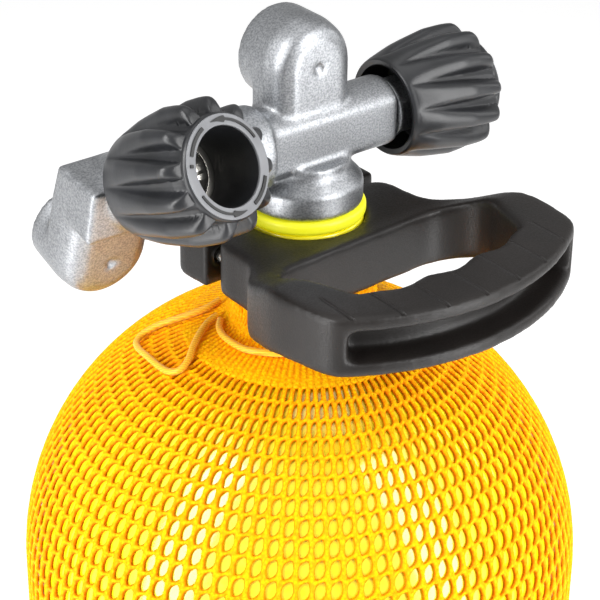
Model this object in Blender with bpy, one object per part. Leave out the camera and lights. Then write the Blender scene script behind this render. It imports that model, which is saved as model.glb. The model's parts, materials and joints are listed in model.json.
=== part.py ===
"""Scuba tank: a 12 litre steel cylinder in a knitted net, with a boot, a carrying handle and a twin-outlet valve.

The origin is the centre of the boot's flat bottom and +Z is up. The main handwheel points along +X and the handle
reaches out along -Y. Threads are drawn as plain cylinders, with the clearance of FIT between the two pieces.
"""

import math

import bmesh
import bpy
import numpy as np
from mathutils import Matrix, Vector

MM = 0.001
FIT = 0.3 * MM  # the gap between two pieces that touch or screw together
SINK = 1.0 * MM  # how far a shape reaches into its neighbour before a union, or past a face before a cut

# Cylinder
TANK_RADIUS = 102.0 * MM
TANK_WALL = 5.0 * MM
STRAIGHT_LENGTH = 274.0 * MM
NECK_RADIUS = 21.0 * MM
NECK_LENGTH = 38.5 * MM  # from the top of the round shoulder to the neck's top face
NECK_BORE = 12.5 * MM
SEAL_RECESS_RADIUS = 16.4 * MM
SEAL_RECESS_DEPTH = 3.5 * MM
TANK_SIDES = 40
DOME_STEP = 15.0  # degrees

# Net and drawstring
NET_THICKNESS = 1.7 * MM
NET_GATHER_RADIUS = 3.2 * MM  # how far the gathered rim stands off the neck
NET_TOP_BELOW_CLAMP = 1.2 * MM
NET_BOTTOM_RADIUS = 70.0 * MM
CORD_DIAMETER = 2.4 * MM

# Boot
BOOT_FLOOR = 6.0 * MM
BOOT_WALL = 3.5 * MM
BOOT_HEIGHT = 95.0 * MM
BOOT_RIM = 2.0 * MM
BOOT_RIM_HEIGHT = 8.0 * MM
BOOT_RIBS = 8
BOOT_RIB_THICKNESS = 3.5 * MM
BOOT_RIB_INNER = 14.0 * MM
BOOT_RIB_TOP_GAP = 7.0 * MM
DRAIN_RADIUS = 6.0 * MM
DRAIN_CIRCLE = 58.0 * MM

# Handle and its clamp
CLAMP_HEIGHT = 21.0 * MM
CLAMP_HALF_WIDTH = 39.0 * MM
CLAMP_SPLIT_Y = 5.0 * MM  # the middle of the gap between the two halves
CLAMP_SPLIT = 2.9 * MM
CLAMP_BACK_Y = 24.5 * MM
CLAMP_CORNER = 6.0 * MM
HANDLE_TURN = math.radians(3.0)
GRIP_BACK_Y = -53.0 * MM
GRIP_BACK_HALF_WIDTH = 58.7 * MM
GRIP_FRONT_HALF_WIDTH = 55.5 * MM
GRIP_CORNER_Y = -77.0 * MM
GRIP_FRONT_Y = -96.5 * MM
GRIP_RISE = 9.1 * MM  # how far the grip's top stands above the clamp's top
GRIP_HEIGHT = 22.0 * MM
ARM_ROOT_Y = -20.0 * MM
ARM_SHOULDER_Y = -27.0 * MM
ARM_SHOULDER_HALF_WIDTH = 49.0 * MM
GRIP_CORNER = 9.0 * MM
HAND_HALF_WIDTH = 44.0 * MM
HAND_BACK_Y = -31.0 * MM
HAND_FRONT_Y = -76.0 * MM
FINGER_WAVE = 2.5 * MM
FINGERS = 4
CHANNEL_DEPTH = 11.0 * MM
CHANNEL_HEIGHT = 11.0 * MM
CHANNEL_END_MARGIN = 5.0 * MM
CLAMP_SCREW_X = 31.0 * MM
CLAMP_SCREW_RADIUS = 3.0 * MM
CLAMP_HEAD_RADIUS = 5.0 * MM
CLAMP_HEAD_HEIGHT = 5.0 * MM
CLAMP_SCREW_LENGTH = 30.0 * MM
CLAMP_NUT_WIDTH = 10.0 * MM
CLAMP_NUT_HEIGHT = 5.0 * MM
CLAMP_NUT_SETBACK = 8.0 * MM  # from the split face to the nut

# Neck ring and seal
RING_THICKNESS = 4.3 * MM
RING_OUTER = 21.7 * MM
NECK_SEAL_RADIUS = 14.35 * MM
NECK_SEAL_SECTION = 1.55 * MM

# Valve body: distances from the point where the barrel's axis crosses the neck's axis
BARREL_ABOVE_NECK = 30.0 * MM
BARREL_RADIUS = 12.6 * MM
BARREL_FLAT = 10.0 * MM
BARREL_END = 33.5 * MM
COLLAR_RADIUS = 20.6 * MM
COLLAR_HEIGHT = 8.5 * MM
STEM_FLANGE_RADIUS = 16.2 * MM
STEM_RADIUS = 12.2 * MM
STEM_LENGTH = 33.0 * MM
BODY_HALF_WIDTH = 15.5 * MM
OUTLET_OFFSET = 25.5 * MM  # from the barrel's axis to the outlet's axis
BOSS_RADIUS = 16.45 * MM
BOSS_BACK = 17.5 * MM
BOSS_ROOT_BACK = 9.0 * MM
LOBE_HALF_WIDTH = 10.0 * MM
LOBE_FRONT = -7.5 * MM
LOBE_ROUND = 10.0 * MM  # how far back the post takes to reach its full width
DIMPLE_RADIUS = 2.2 * MM
DIMPLE_DEPTH = 1.8 * MM
OUTLET_BORE = 11.5 * MM
OUTLET_DEPTH = 16.0 * MM
GAS_BORE = 3.0 * MM
UNION_RADIUS = 15.0 * MM
UNION_START = -22.0 * MM
UNION_END = -31.0 * MM

# Second valve
SECOND_X = -79.3 * MM
SECOND_TILT = math.radians(18.0)  # the turn of its outlet below the horizontal
SECOND_KNOB_RISE = math.radians(27.0)
SECOND_KNOB_LEAN = math.radians(9.4)
SECOND_BLOCK_SECTION = (  # the block's four corners, (y, z) in millimetres in its own frame
    (8.6, -10.2), (-12.6, -14.1), (-13.9, 6.5), (9.5, 7.0),
)
SECOND_KNOB_BACK = 18.9 * MM
MAIN_KNOB_BACK = 34.8 * MM

# Cross connector between the two valves
CONNECTOR_RADIUS = 8.0 * MM
CONNECTOR_FLANGE_RADIUS = 11.0 * MM
CONNECTOR_SOCKET_DEPTH = 11.0 * MM
CONNECTOR_SEAL_SECTION = 1.0 * MM
LOCK_NUT_WIDTH = 28.0 * MM
LOCK_NUT_LENGTH = 8.0 * MM

# Handwheel: distances along its axis from the back rim of the skirt
KNOB_LENGTH = 40.0 * MM
KNOB_BACK_RADIUS = 17.0 * MM
KNOB_WAIST_RADIUS = 18.0 * MM
KNOB_FACE_RADIUS = 16.5 * MM
KNOB_RIBS = 12
KNOB_RIB_HEIGHT = 3.2 * MM
KNOB_RIB_TWIST = math.radians(16.0)
KNOB_SIDES = 60
KNOB_BACK_BORE = 15.0 * MM
KNOB_BACK_BORE_DEPTH = 14.0 * MM
KNOB_HUB_THICKNESS = 4.0 * MM
KNOB_FRONT_BORE = 12.6 * MM
KNOB_CLEARANCE = 1.5 * MM  # round the skirt, where the second valve's block is faced off

# Spindle group
SPINDLE_RADIUS = 4.0 * MM
SPINDLE_SQUARE = 5.5 * MM
SPINDLE_THREAD_RADIUS = 2.7 * MM
SPINDLE_TIP = 27.0 * MM  # from the knob's back rim to the spindle's slotted end
THRUST_RADIUS = 6.3 * MM
THRUST_THICKNESS = 2.0 * MM
CHAMBER_RADIUS = 8.0 * MM
SEAT_BEHIND_KNOB = 26.8 * MM  # from the knob's back rim down to the valve seat
PLUNGER_LENGTH = 10.0 * MM
PLUNGER_SLOT_DEPTH = 6.0 * MM
TONGUE_THICKNESS = 1.8 * MM
TONGUE_HALF_WIDTH = 4.5 * MM
TONGUE_GRIP = 1.5 * MM  # how deep the tongue sits in the plunger when the valve is shut
TRAVEL = 3.75 * MM
BONNET_FLANGE_RADIUS = 11.0 * MM
BONNET_FLANGE_LENGTH = 8.0 * MM
SPINDLE_SEAL_SECTION = 1.0 * MM
KNOB_NUT_RADIUS = 6.0 * MM
KNOB_NUT_HEIGHT = 4.0 * MM
KNOB_WASHER_RADIUS = 9.0 * MM
KNOB_WASHER_THICKNESS = 1.2 * MM

# Dip tube
DIP_TUBE_RADIUS = 4.0 * MM
DIP_TUBE_BORE = 2.5 * MM
DIP_TUBE_LENGTH = 52.0 * MM
DIP_TUBE_SOCKET = 10.0 * MM

# Heights that follow from the sizes above
NET_OUTER = TANK_RADIUS + FIT + NET_THICKNESS
BOWL_RADIUS = NET_OUTER + FIT
BASE_CENTRE_Z = BOOT_FLOOR + BOWL_RADIUS
SHOULDER_Z = BASE_CENTRE_Z + STRAIGHT_LENGTH
NECK_TOP = SHOULDER_Z + TANK_RADIUS + NECK_LENGTH
CLAMP_TOP = NECK_TOP + FIT
CLAMP_BOTTOM = CLAMP_TOP - CLAMP_HEIGHT
BARREL_Z = NECK_TOP + BARREL_ABOVE_NECK
RING_BOTTOM = CLAMP_TOP + FIT
COLLAR_BOTTOM = RING_BOTTOM + RING_THICKNESS + FIT

# The drawstring's route from above, in millimetres from the tank's axis: two ends that leave the gathered rim
# and one loose loop between them. The cord lies on the net all the way, which gives its height.
DRAWSTRING_ROUTE = (
    (-20.5, 22.5), (-26, 22.5), (-31.5, 25.5), (-36.5, 30.5), (-40.5, 35), (-44.5, 37.2), (-48.3, 35.5),
    (-50.8, 30), (-52.5, 22), (-53.8, 13.5), (-53.8, 6.5), (-51.3, 3), (-47, 4.2), (-42.5, 7.8), (-37.5, 11),
    (-32, 13.8), (-27.5, 14.2),
)
DRAWSTRING_TAIL_ROUTE = (
    (-28.5, 10.8), (-31.5, 7.5), (-33.3, 2.5), (-33.6, -3.5), (-32.8, -9), (-30.5, -13.5), (-27.2, -18),
    (-23.5, -21.5),
)


def clear_scene():
    for thing in list(bpy.data.objects):
        bpy.data.objects.remove(thing)


def finish_of(name, colour, roughness, metallic=0.0):
    """A Principled material: colour is linear RGB."""
    made = bpy.data.materials.new(name)
    made.use_nodes = True
    shader = made.node_tree.nodes["Principled BSDF"]
    shader.inputs["Base Color"].default_value = (*colour, 1.0)
    shader.inputs["Roughness"].default_value = roughness
    shader.inputs["Metallic"].default_value = metallic
    return made


def finishes():
    return {
        "steel_paint": finish_of("yellow_enamel_steel", (0.80, 0.72, 0.05), 0.35),
        "net": finish_of("yellow_knitted_net", (0.95, 0.50, 0.02), 0.8),
        "boot": finish_of("black_rubber_boot", (0.02, 0.02, 0.02), 0.7),
        "handle": finish_of("black_moulded_nylon", (0.03, 0.028, 0.026), 0.5),
        "casting": finish_of("satin_chrome_brass", (0.62, 0.63, 0.64), 0.38, 1.0),
        "rubber": finish_of("dark_grey_rubber", (0.045, 0.045, 0.05), 0.55),
        "ring": finish_of("fluorescent_yellow_ring", (0.75, 0.85, 0.02), 0.5),
        "seal": finish_of("black_nitrile", (0.015, 0.015, 0.015), 0.6),
        "bright": finish_of("bright_nickel_plate", (0.75, 0.74, 0.72), 0.15, 1.0),
        "nylon": finish_of("white_nylon_seat", (0.8, 0.8, 0.76), 0.45),
    }


def empty_at(name, matrix, parent=None):
    """A helper that holds an assembly's place; its pieces are parented to it."""
    made = bpy.data.objects.new(name, None)
    bpy.context.scene.collection.objects.link(made)
    made.parent = parent
    made.matrix_local = matrix
    return made


def object_of(name, mesh_data, holder, material=None):
    """An object from (points, faces) in the holder's own coordinates, with its faces turned outwards."""
    points, faces = mesh_data
    mesh = bpy.data.meshes.new(name)
    mesh.from_pydata([tuple(p) for p in points], [], [tuple(f) for f in faces])
    work = bmesh.new()
    work.from_mesh(mesh)
    bmesh.ops.recalc_face_normals(work, faces=work.faces)
    work.to_mesh(mesh)
    work.free()
    if material:
        mesh.materials.append(material)
    mesh.shade_smooth()
    mesh.set_sharp_from_angle(angle=math.radians(35))
    made = bpy.data.objects.new(name, mesh)
    bpy.context.scene.collection.objects.link(made)
    made.parent = holder
    return made


def piece(name, base, holder, material, adds=(), within=(), cuts=(), solver="EXACT"):
    """A node: the base shape, joined with the added shapes, kept where it lies within others, then cut.

    The castings, the boot and the rear clamp take the MANIFOLD solver, because EXACT leaves open edges in them.
    """
    made = object_of(name, base, holder, material)
    for operation, shapes in (("UNION", adds), ("INTERSECT", within), ("DIFFERENCE", cuts)):
        for index, shape in enumerate(shapes):
            helper = object_of(f"{name}_{operation.lower()}_{index}", shape, holder)
            helper.hide_render = True
            helper.display_type = "WIRE"
            step = made.modifiers.new(helper.name, "BOOLEAN")
            step.operation = operation
            step.solver = solver
            step.object = helper
    return made


def lathe(profile, sides):
    """(points, faces) of a closed profile of (radius, height) turned about Z. A point at radius 0 is a pole."""
    angles = np.arange(sides) * (2 * math.pi / sides)
    points = []
    rings = []
    for radius, height in profile:
        if radius == 0:
            rings.append([len(points)] * sides)
            points.append((0.0, 0.0, height))
            continue
        rings.append(list(range(len(points), len(points) + sides)))
        points += [(radius * math.cos(a), radius * math.sin(a), height) for a in angles]
    faces = []
    for low, high in zip(rings, rings[1:] + rings[:1]):
        for i in range(sides):
            j = (i + 1) % sides
            corners = [low[i], low[j], high[j], high[i]]
            kept = [c for k, c in enumerate(corners) if c != corners[k - 1]]
            if len(kept) > 2:
                faces.append(kept)
    return points, faces


def moved(shape, matrix):
    points, faces = shape
    return [tuple(matrix @ Vector(p)) for p in points], faces


def rod(radius, start, end, sides=24):
    """A cylinder of this radius from one point to another."""
    start = Vector(start)
    along = Vector(end) - start
    turn = along.to_track_quat("Z", "Y").to_matrix().to_4x4()
    shape = lathe([(0, 0), (radius, 0), (radius, along.length), (0, along.length)], sides)
    return moved(shape, Matrix.Translation(start) @ turn)


def tube(outer, inner, low, high, sides=24):
    return lathe([(inner, low), (outer, low), (outer, high), (inner, high)], sides)


def torus(radius, section, height, sides=24, around=6):
    steps = np.arange(around) * (2 * math.pi / around)
    return lathe([(radius + section * math.cos(a), height + section * math.sin(a)) for a in steps], sides)


def extruded(outline, low, high, axes="xyz"):
    """A prism: outline holds points along the first two axes, and the last axis runs from low to high."""
    order = ["xyz".index(a) for a in axes]
    points = []
    for level in (low, high):
        for first, second in outline:
            point = [0.0, 0.0, 0.0]
            point[order[0]] = first
            point[order[1]] = second
            point[order[2]] = level
            points.append(tuple(point))
    n = len(outline)
    faces = [list(range(n)), list(range(2 * n - 1, n - 1, -1))]
    faces += [[i, (i + 1) % n, n + (i + 1) % n, n + i] for i in range(n)]
    return points, faces


def box(low, high):
    outline = [(low[0], low[1]), (high[0], low[1]), (high[0], high[1]), (low[0], high[1])]
    return extruded(outline, low[2], high[2])


def polygon(sides, across_flats):
    reach = across_flats / 2 / math.cos(math.pi / sides)
    steps = [(i + 0.5) * 2 * math.pi / sides for i in range(sides)]
    return [(reach * math.cos(a), reach * math.sin(a)) for a in steps]


def rounded(outline, cut, steps=3):
    """The closed outline with each corner sharper than 25 degrees replaced by a curve that starts this far off."""
    given = [Vector(p) for p in outline]
    made = []
    for before, corner, after in zip(given[-1:] + given[:-1], given, given[1:] + given[:1]):
        back = before - corner
        ahead = after - corner
        if back.angle(-ahead) < math.radians(25):
            made.append(tuple(corner))
            continue
        start = corner + back.normalized() * min(cut, back.length * 0.45)
        end = corner + ahead.normalized() * min(cut, ahead.length * 0.45)
        for i in range(steps + 1):
            t = i / steps
            made.append(tuple(start * (1 - t) ** 2 + corner * (2 * t * (1 - t)) + end * t**2))
    return made


def lofted(sections):
    """A solid through closed sections, each a list of as many points."""
    n = len(sections[0])
    points = [tuple(p) for section in sections for p in section]
    last = len(points) - n
    faces = [list(range(n)), list(range(last + n - 1, last - 1, -1))]
    for below in range(0, last, n):
        faces += [[below + i, below + (i + 1) % n, below + n + (i + 1) % n, below + n + i] for i in range(n)]
    return points, faces


def arc(centre, radius, start, end, steps):
    """Points (first, second) on an arc, both ends included; angles are in degrees."""
    angles = np.radians(np.linspace(start, end, steps + 1))
    return [(centre[0] + radius * math.cos(a), centre[1] + radius * math.sin(a)) for a in angles]


def smooth_route(route, spacing):
    """Points at about this spacing on the Catmull-Rom curve through the route's own points."""
    given = np.array(route, float) * MM
    ends = np.vstack([2 * given[0] - given[1], given, 2 * given[-1] - given[-2]])
    fine = []
    for a, b, c, d in zip(ends, ends[1:], ends[2:], ends[3:]):
        t = np.linspace(0, 1, 20, endpoint=False)[:, None]
        cubic = (3 * b - a - 3 * c + d) * t**3
        fine.append(0.5 * (2 * b + (c - a) * t + (2 * a - 5 * b + 4 * c - d) * t**2 + cubic))
    fine = np.vstack(fine + [given[-1:]])
    lie = NET_OUTER + FIT + CORD_DIAMETER / 2
    height = np.sqrt(lie**2 - (fine**2).sum(axis=1))
    fine = np.column_stack([fine, height])
    run = np.concatenate([[0], np.cumsum(np.linalg.norm(np.diff(fine, axis=0), axis=1))])
    wanted = np.linspace(0, run[-1], max(2, round(run[-1] / spacing)) + 1)
    return np.stack([np.interp(wanted, run, fine[:, k]) for k in range(3)], axis=1)


def cord(name, route, holder, material):
    """A round cord that lies on the net's shoulder along the route."""
    points = smooth_route(route, 2.5 * CORD_DIAMETER)
    curve = bpy.data.curves.new(name, "CURVE")
    curve.dimensions = "3D"
    curve.bevel_depth = CORD_DIAMETER / 2
    curve.bevel_resolution = 2
    curve.use_fill_caps = True
    line = curve.splines.new("POLY")
    line.points.add(len(points) - 1)
    line.points.foreach_set("co", np.column_stack([points, np.ones(len(points))]).ravel())
    curve.materials.append(material)
    made = bpy.data.objects.new(name, curve)
    bpy.context.scene.collection.objects.link(made)
    made.parent = holder
    made.location = (0, 0, SHOULDER_Z)
    return made


def dome(radius, centre, start_radius, end_radius, up):
    """Profile points on a round end between two radii about the axis.

    All round ends share the whole multiples of DOME_STEP, so that nested shells keep an even gap.
    """
    start = math.degrees(math.asin(start_radius / radius))
    end = math.degrees(math.asin(min(1.0, end_radius / radius)))
    shared = np.arange(0, 90 + DOME_STEP, DOME_STEP)
    low, high = sorted((start, end))
    between = [float(a) for a in shared if low + 1 < a < high - 1]
    angles = [start] + (between if end > start else between[::-1]) + [end]
    side = 1 if up else -1
    return [
        (0.0 if a == 0 else radius * math.sin(math.radians(a)), centre + side * radius * math.cos(math.radians(a)))
        for a in angles
    ]


def cylinder(holder, material):
    """The steel cylinder: round base, straight wall and round shoulder, hollow and open at the neck."""
    inner = TANK_RADIUS - TANK_WALL
    fillet = 6.0 * MM
    joint_z = SHOULDER_Z + math.sqrt(TANK_RADIUS**2 - (NECK_RADIUS + fillet) ** 2)
    outside = [(0, BASE_CENTRE_Z - TANK_RADIUS)]
    outside += dome(TANK_RADIUS, BASE_CENTRE_Z, 0, TANK_RADIUS, up=False)[1:]
    outside += dome(TANK_RADIUS, SHOULDER_Z, TANK_RADIUS, NECK_RADIUS + fillet, up=True)
    outside += [(NECK_RADIUS + fillet * 0.3, joint_z + fillet * 0.45), (NECK_RADIUS, joint_z + fillet * 1.1)]
    outside += [(NECK_RADIUS, NECK_TOP), (SEAL_RECESS_RADIUS, NECK_TOP)]
    outside += [(SEAL_RECESS_RADIUS, NECK_TOP - SEAL_RECESS_DEPTH), (NECK_BORE, NECK_TOP - SEAL_RECESS_DEPTH)]
    inside = dome(inner, SHOULDER_Z, NECK_BORE, inner, up=True)
    inside += dome(inner, BASE_CENTRE_Z, inner, 0, up=False)
    return piece("cylinder", lathe(outside + inside, TANK_SIDES), holder, material)


def net_cover(holder, material):
    """The knitted net as a thin sleeve over the cylinder, gathered round the neck and open under the base."""
    inner = TANK_RADIUS + FIT
    top = CLAMP_BOTTOM - NET_TOP_BELOW_CLAMP
    gather = NECK_RADIUS + NET_GATHER_RADIUS
    turn = gather + 3.0 * MM
    shoulder_inner = dome(inner, SHOULDER_Z, inner, turn, up=True)
    shoulder_outer = dome(NET_OUTER, SHOULDER_Z, NET_OUTER, turn + NET_THICKNESS, up=True)
    base_inner = dome(inner, BASE_CENTRE_Z, NET_BOTTOM_RADIUS, inner, up=False)
    base_outer = dome(NET_OUTER, BASE_CENTRE_Z, NET_BOTTOM_RADIUS, NET_OUTER, up=False)
    profile = base_outer + shoulder_outer + [(gather + NET_THICKNESS, top), (gather, top)]
    profile += shoulder_inner[::-1] + base_inner[::-1]
    return piece("net_cover", lathe(profile, TANK_SIDES), holder, material)


def boot(holder, material):
    """The boot: a flat-bottomed cup with radial ribs that cradle the round base, and drain holes between them."""
    outer = BOWL_RADIUS + BOOT_WALL
    rim = outer + BOOT_RIM
    top = BOOT_HEIGHT
    profile = [(0, 0), (rim, 0), (rim, BOOT_RIM_HEIGHT), (outer, BOOT_RIM_HEIGHT + BOOT_RIM)]
    profile += [(outer, top - BOOT_RIM_HEIGHT), (rim - BOOT_RIM / 2, top - BOOT_RIM_HEIGHT + BOOT_RIM)]
    profile += [(rim - BOOT_RIM / 2, top), (BOWL_RADIUS, top), (BOWL_RADIUS, BOOT_FLOOR), (0, BOOT_FLOOR)]
    rib_top = top - BOOT_RIB_TOP_GAP
    reach = math.sqrt(BOWL_RADIUS**2 - (BASE_CENTRE_Z - rib_top) ** 2)
    seat = dome(BOWL_RADIUS + FIT, BASE_CENTRE_Z, BOOT_RIB_INNER, reach, up=False)
    wall = BOWL_RADIUS + SINK
    outline = [(BOOT_RIB_INNER, BOOT_FLOOR - SINK)] + seat + [(wall, rib_top), (wall, BOOT_FLOOR - SINK)]
    half = BOOT_RIB_THICKNESS / 2
    rib = extruded(outline, -half, half, axes="xzy")
    turns = [Matrix.Rotation(2 * math.pi * i / BOOT_RIBS, 4, "Z") for i in range(BOOT_RIBS)]
    between = Matrix.Rotation(math.pi / BOOT_RIBS, 4, "Z")
    drain = rod(DRAIN_RADIUS, (DRAIN_CIRCLE, 0, -SINK), (DRAIN_CIRCLE, 0, BOOT_FLOOR + SINK), 16)
    return piece(
        "boot", lathe(profile, TANK_SIDES), holder, material,
        adds=[moved(rib, turn) for turn in turns],
        cuts=[moved(drain, turn @ between) for turn in turns],
        solver="MANIFOLD",
    )


def handle_outline():
    """The handle's outer edge from above, in its own turned frame: arms that flare to a bowed grip."""
    right = [(CLAMP_HALF_WIDTH, CLAMP_SPLIT_Y - CLAMP_SPLIT / 2), (CLAMP_HALF_WIDTH, ARM_ROOT_Y)]
    right += [(ARM_SHOULDER_HALF_WIDTH, ARM_SHOULDER_Y), (GRIP_BACK_HALF_WIDTH, GRIP_BACK_Y)]
    right += [(GRIP_FRONT_HALF_WIDTH, GRIP_CORNER_Y)]
    rise = GRIP_CORNER_Y - GRIP_FRONT_Y
    radius = (GRIP_FRONT_HALF_WIDTH**2 + rise**2) / (2 * rise)
    spread = math.degrees(math.asin(GRIP_FRONT_HALF_WIDTH / radius))
    bow = arc((0, GRIP_FRONT_Y + radius), radius, -90 + spread, -90 - spread, 14)
    left = [(-x, y) for x, y in right[::-1]]
    return rounded(right[:-1] + bow + left[1:], GRIP_CORNER)


def hand_opening():
    """The gap for the hand: a straight back edge, round ends and a waved front edge for the fingers."""
    end_radius = (HAND_BACK_Y - HAND_FRONT_Y) / 3.2
    xs = np.linspace(-1, 1, 25) * (HAND_HALF_WIDTH - end_radius * 0.55)
    bow = (HAND_BACK_Y - HAND_FRONT_Y) * 0.16 * (xs / HAND_HALF_WIDTH) ** 2
    wave = FINGER_WAVE / 2 * (1 - np.cos(2 * math.pi * FINGERS * (xs / HAND_HALF_WIDTH + 1) / 2))
    front = [(float(x), float(HAND_FRONT_Y + b + w)) for x, b, w in zip(xs, bow, wave)]
    right = arc((HAND_HALF_WIDTH - end_radius, HAND_BACK_Y - end_radius), end_radius, -35, 90, 6)
    left = [(-x, y) for x, y in right[::-1]]
    return front + right + left


def grip_channel():
    """The outline of the deep slot in the grip's outer face: a band that follows the bowed edge."""
    rise = GRIP_CORNER_Y - GRIP_FRONT_Y
    radius = (GRIP_FRONT_HALF_WIDTH**2 + rise**2) / (2 * rise)
    spread = math.degrees(math.asin((GRIP_FRONT_HALF_WIDTH - CHANNEL_END_MARGIN) / radius))
    centre = (0, GRIP_FRONT_Y + radius)
    outer = arc(centre, radius + SINK, -90 - spread, -90 + spread, 14)
    inner = arc(centre, radius - CHANNEL_DEPTH, -90 + spread, -90 - spread, 14)
    return outer + inner


def handle_side_profile():
    """The handle's side view, (y, z): level at the clamp, then swept up to the raised grip."""
    back = CLAMP_SPLIT_Y - CLAMP_SPLIT / 2
    front = GRIP_FRONT_Y - 4 * SINK
    rise_start = HAND_BACK_Y + 6.0 * MM
    grip_top = CLAMP_TOP + GRIP_RISE
    grip_bottom = grip_top - GRIP_HEIGHT
    top = [(back, CLAMP_TOP), (rise_start, CLAMP_TOP)]
    top += s_curve((rise_start, CLAMP_TOP), (GRIP_BACK_Y, grip_top), 6)[1:]
    bottom = [(front, grip_bottom)]
    bottom += s_curve((GRIP_BACK_Y - 8.0 * MM, grip_bottom), (rise_start, CLAMP_BOTTOM), 6)
    return top + [(front, grip_top)] + bottom + [(back, CLAMP_BOTTOM)]


def s_curve(start, end, steps):
    """A smooth step from one (y, z) point to another, level at both ends."""
    t = np.linspace(0, 1, steps + 1)
    ease = t * t * (3 - 2 * t)
    return [(start[0] + (end[0] - start[0]) * a, start[1] + (end[1] - start[1]) * b) for a, b in zip(t, ease)]


def clamp_holes(along_low, along_high, radius):
    middle = (CLAMP_TOP + CLAMP_BOTTOM) / 2
    sides = (-CLAMP_SCREW_X, CLAMP_SCREW_X)
    return [rod(radius, (x, along_low, middle), (x, along_high, middle), 16) for x in sides]


def neck_hole():
    return rod(NECK_RADIUS + FIT, (0, 0, CLAMP_BOTTOM - 12 * MM), (0, 0, CLAMP_TOP + 12 * MM), TANK_SIDES)


def handle_grip(holder, material):
    """The front half of the clamp with its two arms and the grip, moulded in one."""
    low = CLAMP_BOTTOM - SINK
    high = CLAMP_TOP + GRIP_RISE + SINK
    reach = GRIP_BACK_HALF_WIDTH + 2 * SINK
    grip_middle = CLAMP_TOP + GRIP_RISE - GRIP_HEIGHT / 2
    split_face = CLAMP_SPLIT_Y - CLAMP_SPLIT / 2
    nut_back = split_face - CLAMP_NUT_SETBACK + FIT
    nut_front = nut_back - CLAMP_NUT_HEIGHT - 2 * FIT
    nut_half = CLAMP_NUT_WIDTH / 2 + FIT
    clamp_middle = (CLAMP_TOP + CLAMP_BOTTOM) / 2
    pockets = [
        box((x - nut_half, nut_front, CLAMP_BOTTOM - SINK), (x + nut_half, nut_back, clamp_middle + nut_half))
        for x in (-CLAMP_SCREW_X, CLAMP_SCREW_X)
    ]
    screw_end = CLAMP_BACK_Y - CLAMP_SCREW_LENGTH - CLAMP_HEAD_HEIGHT - 4 * SINK
    cuts = [extruded(hand_opening(), low - SINK, high + SINK)]
    cuts += [extruded(grip_channel(), grip_middle - CHANNEL_HEIGHT / 2, grip_middle + CHANNEL_HEIGHT / 2)]
    cuts += [neck_hole()]
    cuts += clamp_holes(screw_end, split_face + SINK, CLAMP_SCREW_RADIUS + FIT)
    cuts += pockets
    side = extruded(handle_side_profile(), -reach, reach, axes="yzx")
    return piece("handle_grip", extruded(handle_outline(), low, high), holder, material, within=[side], cuts=cuts)


def handle_clamp(holder, material):
    """The rear half of the clamp, with rounded corners and counterbores for the screw heads."""
    split_face = CLAMP_SPLIT_Y + CLAMP_SPLIT / 2
    back = [(CLAMP_HALF_WIDTH, CLAMP_BACK_Y), (-CLAMP_HALF_WIDTH, CLAMP_BACK_Y)]
    front = [(-CLAMP_HALF_WIDTH, split_face), (CLAMP_HALF_WIDTH, split_face)]
    outline = front + rounded(front[1:] + back + front[:1], CLAMP_CORNER)[4:-4]
    head_seat = CLAMP_BACK_Y - CLAMP_HEAD_HEIGHT - FIT
    cuts = [neck_hole()]
    cuts += clamp_holes(split_face - SINK, CLAMP_BACK_Y + SINK, CLAMP_SCREW_RADIUS + FIT)
    cuts += clamp_holes(head_seat, CLAMP_BACK_Y + SINK, CLAMP_HEAD_RADIUS + FIT)
    block = extruded(outline, CLAMP_BOTTOM, CLAMP_TOP)
    return piece("handle_clamp", block, holder, material, cuts=cuts, solver="MANIFOLD")


def clamp_fasteners(holder, finish):
    """Two socket-head screws from behind, and the two square nuts that they pull on."""
    middle = (CLAMP_TOP + CLAMP_BOTTOM) / 2
    head_back = CLAMP_BACK_Y
    seat = head_back - CLAMP_HEAD_HEIGHT
    tip = seat - CLAMP_SCREW_LENGTH
    nut_back = CLAMP_SPLIT_Y - CLAMP_SPLIT / 2 - CLAMP_NUT_SETBACK
    for side, x in (("left", -CLAMP_SCREW_X), ("right", CLAMP_SCREW_X)):
        at = Matrix.Translation((x, 0, middle)) @ Matrix.Rotation(math.radians(-90), 4, "X")
        profile = [(0, tip), (CLAMP_SCREW_RADIUS, tip), (CLAMP_SCREW_RADIUS, seat)]
        profile += [(CLAMP_HEAD_RADIUS, seat), (CLAMP_HEAD_RADIUS, head_back), (0, head_back)]
        socket = extruded(polygon(6, 5 * MM), head_back - 3 * MM, head_back + SINK)
        piece(
            f"clamp_screw_{side}", moved(lathe(profile, 16), at), holder, finish["bright"],
            cuts=[moved(socket, at)],
        )
        half = CLAMP_NUT_WIDTH / 2
        nut_front = nut_back - CLAMP_NUT_HEIGHT
        block = box((x - half, nut_front, middle - half), (x + half, nut_back, middle + half))
        hole = rod(CLAMP_SCREW_RADIUS + FIT, (x, nut_front - SINK, middle), (x, nut_back + SINK, middle), 16)
        piece(f"clamp_nut_{side}", block, holder, finish["bright"], cuts=[hole])


def neck_parts(holder, finish):
    """The coloured ring under the valve's collar and the O-ring that seals the valve in the neck."""
    bulge = 0.8 * MM
    inner = STEM_FLANGE_RADIUS + FIT
    low = RING_BOTTOM
    high = RING_BOTTOM + RING_THICKNESS
    profile = [(inner, low), (RING_OUTER - bulge, low), (RING_OUTER, low + RING_THICKNESS * 0.3)]
    profile += [(RING_OUTER, low + RING_THICKNESS * 0.7), (RING_OUTER - bulge, high), (inner, high)]
    piece("neck_ring", lathe(profile, TANK_SIDES), holder, finish["ring"])
    seal_z = NECK_TOP - SEAL_RECESS_DEPTH + FIT + NECK_SEAL_SECTION
    piece("neck_seal", torus(NECK_SEAL_RADIUS, NECK_SEAL_SECTION, seal_z), holder, finish["seal"])


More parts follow.
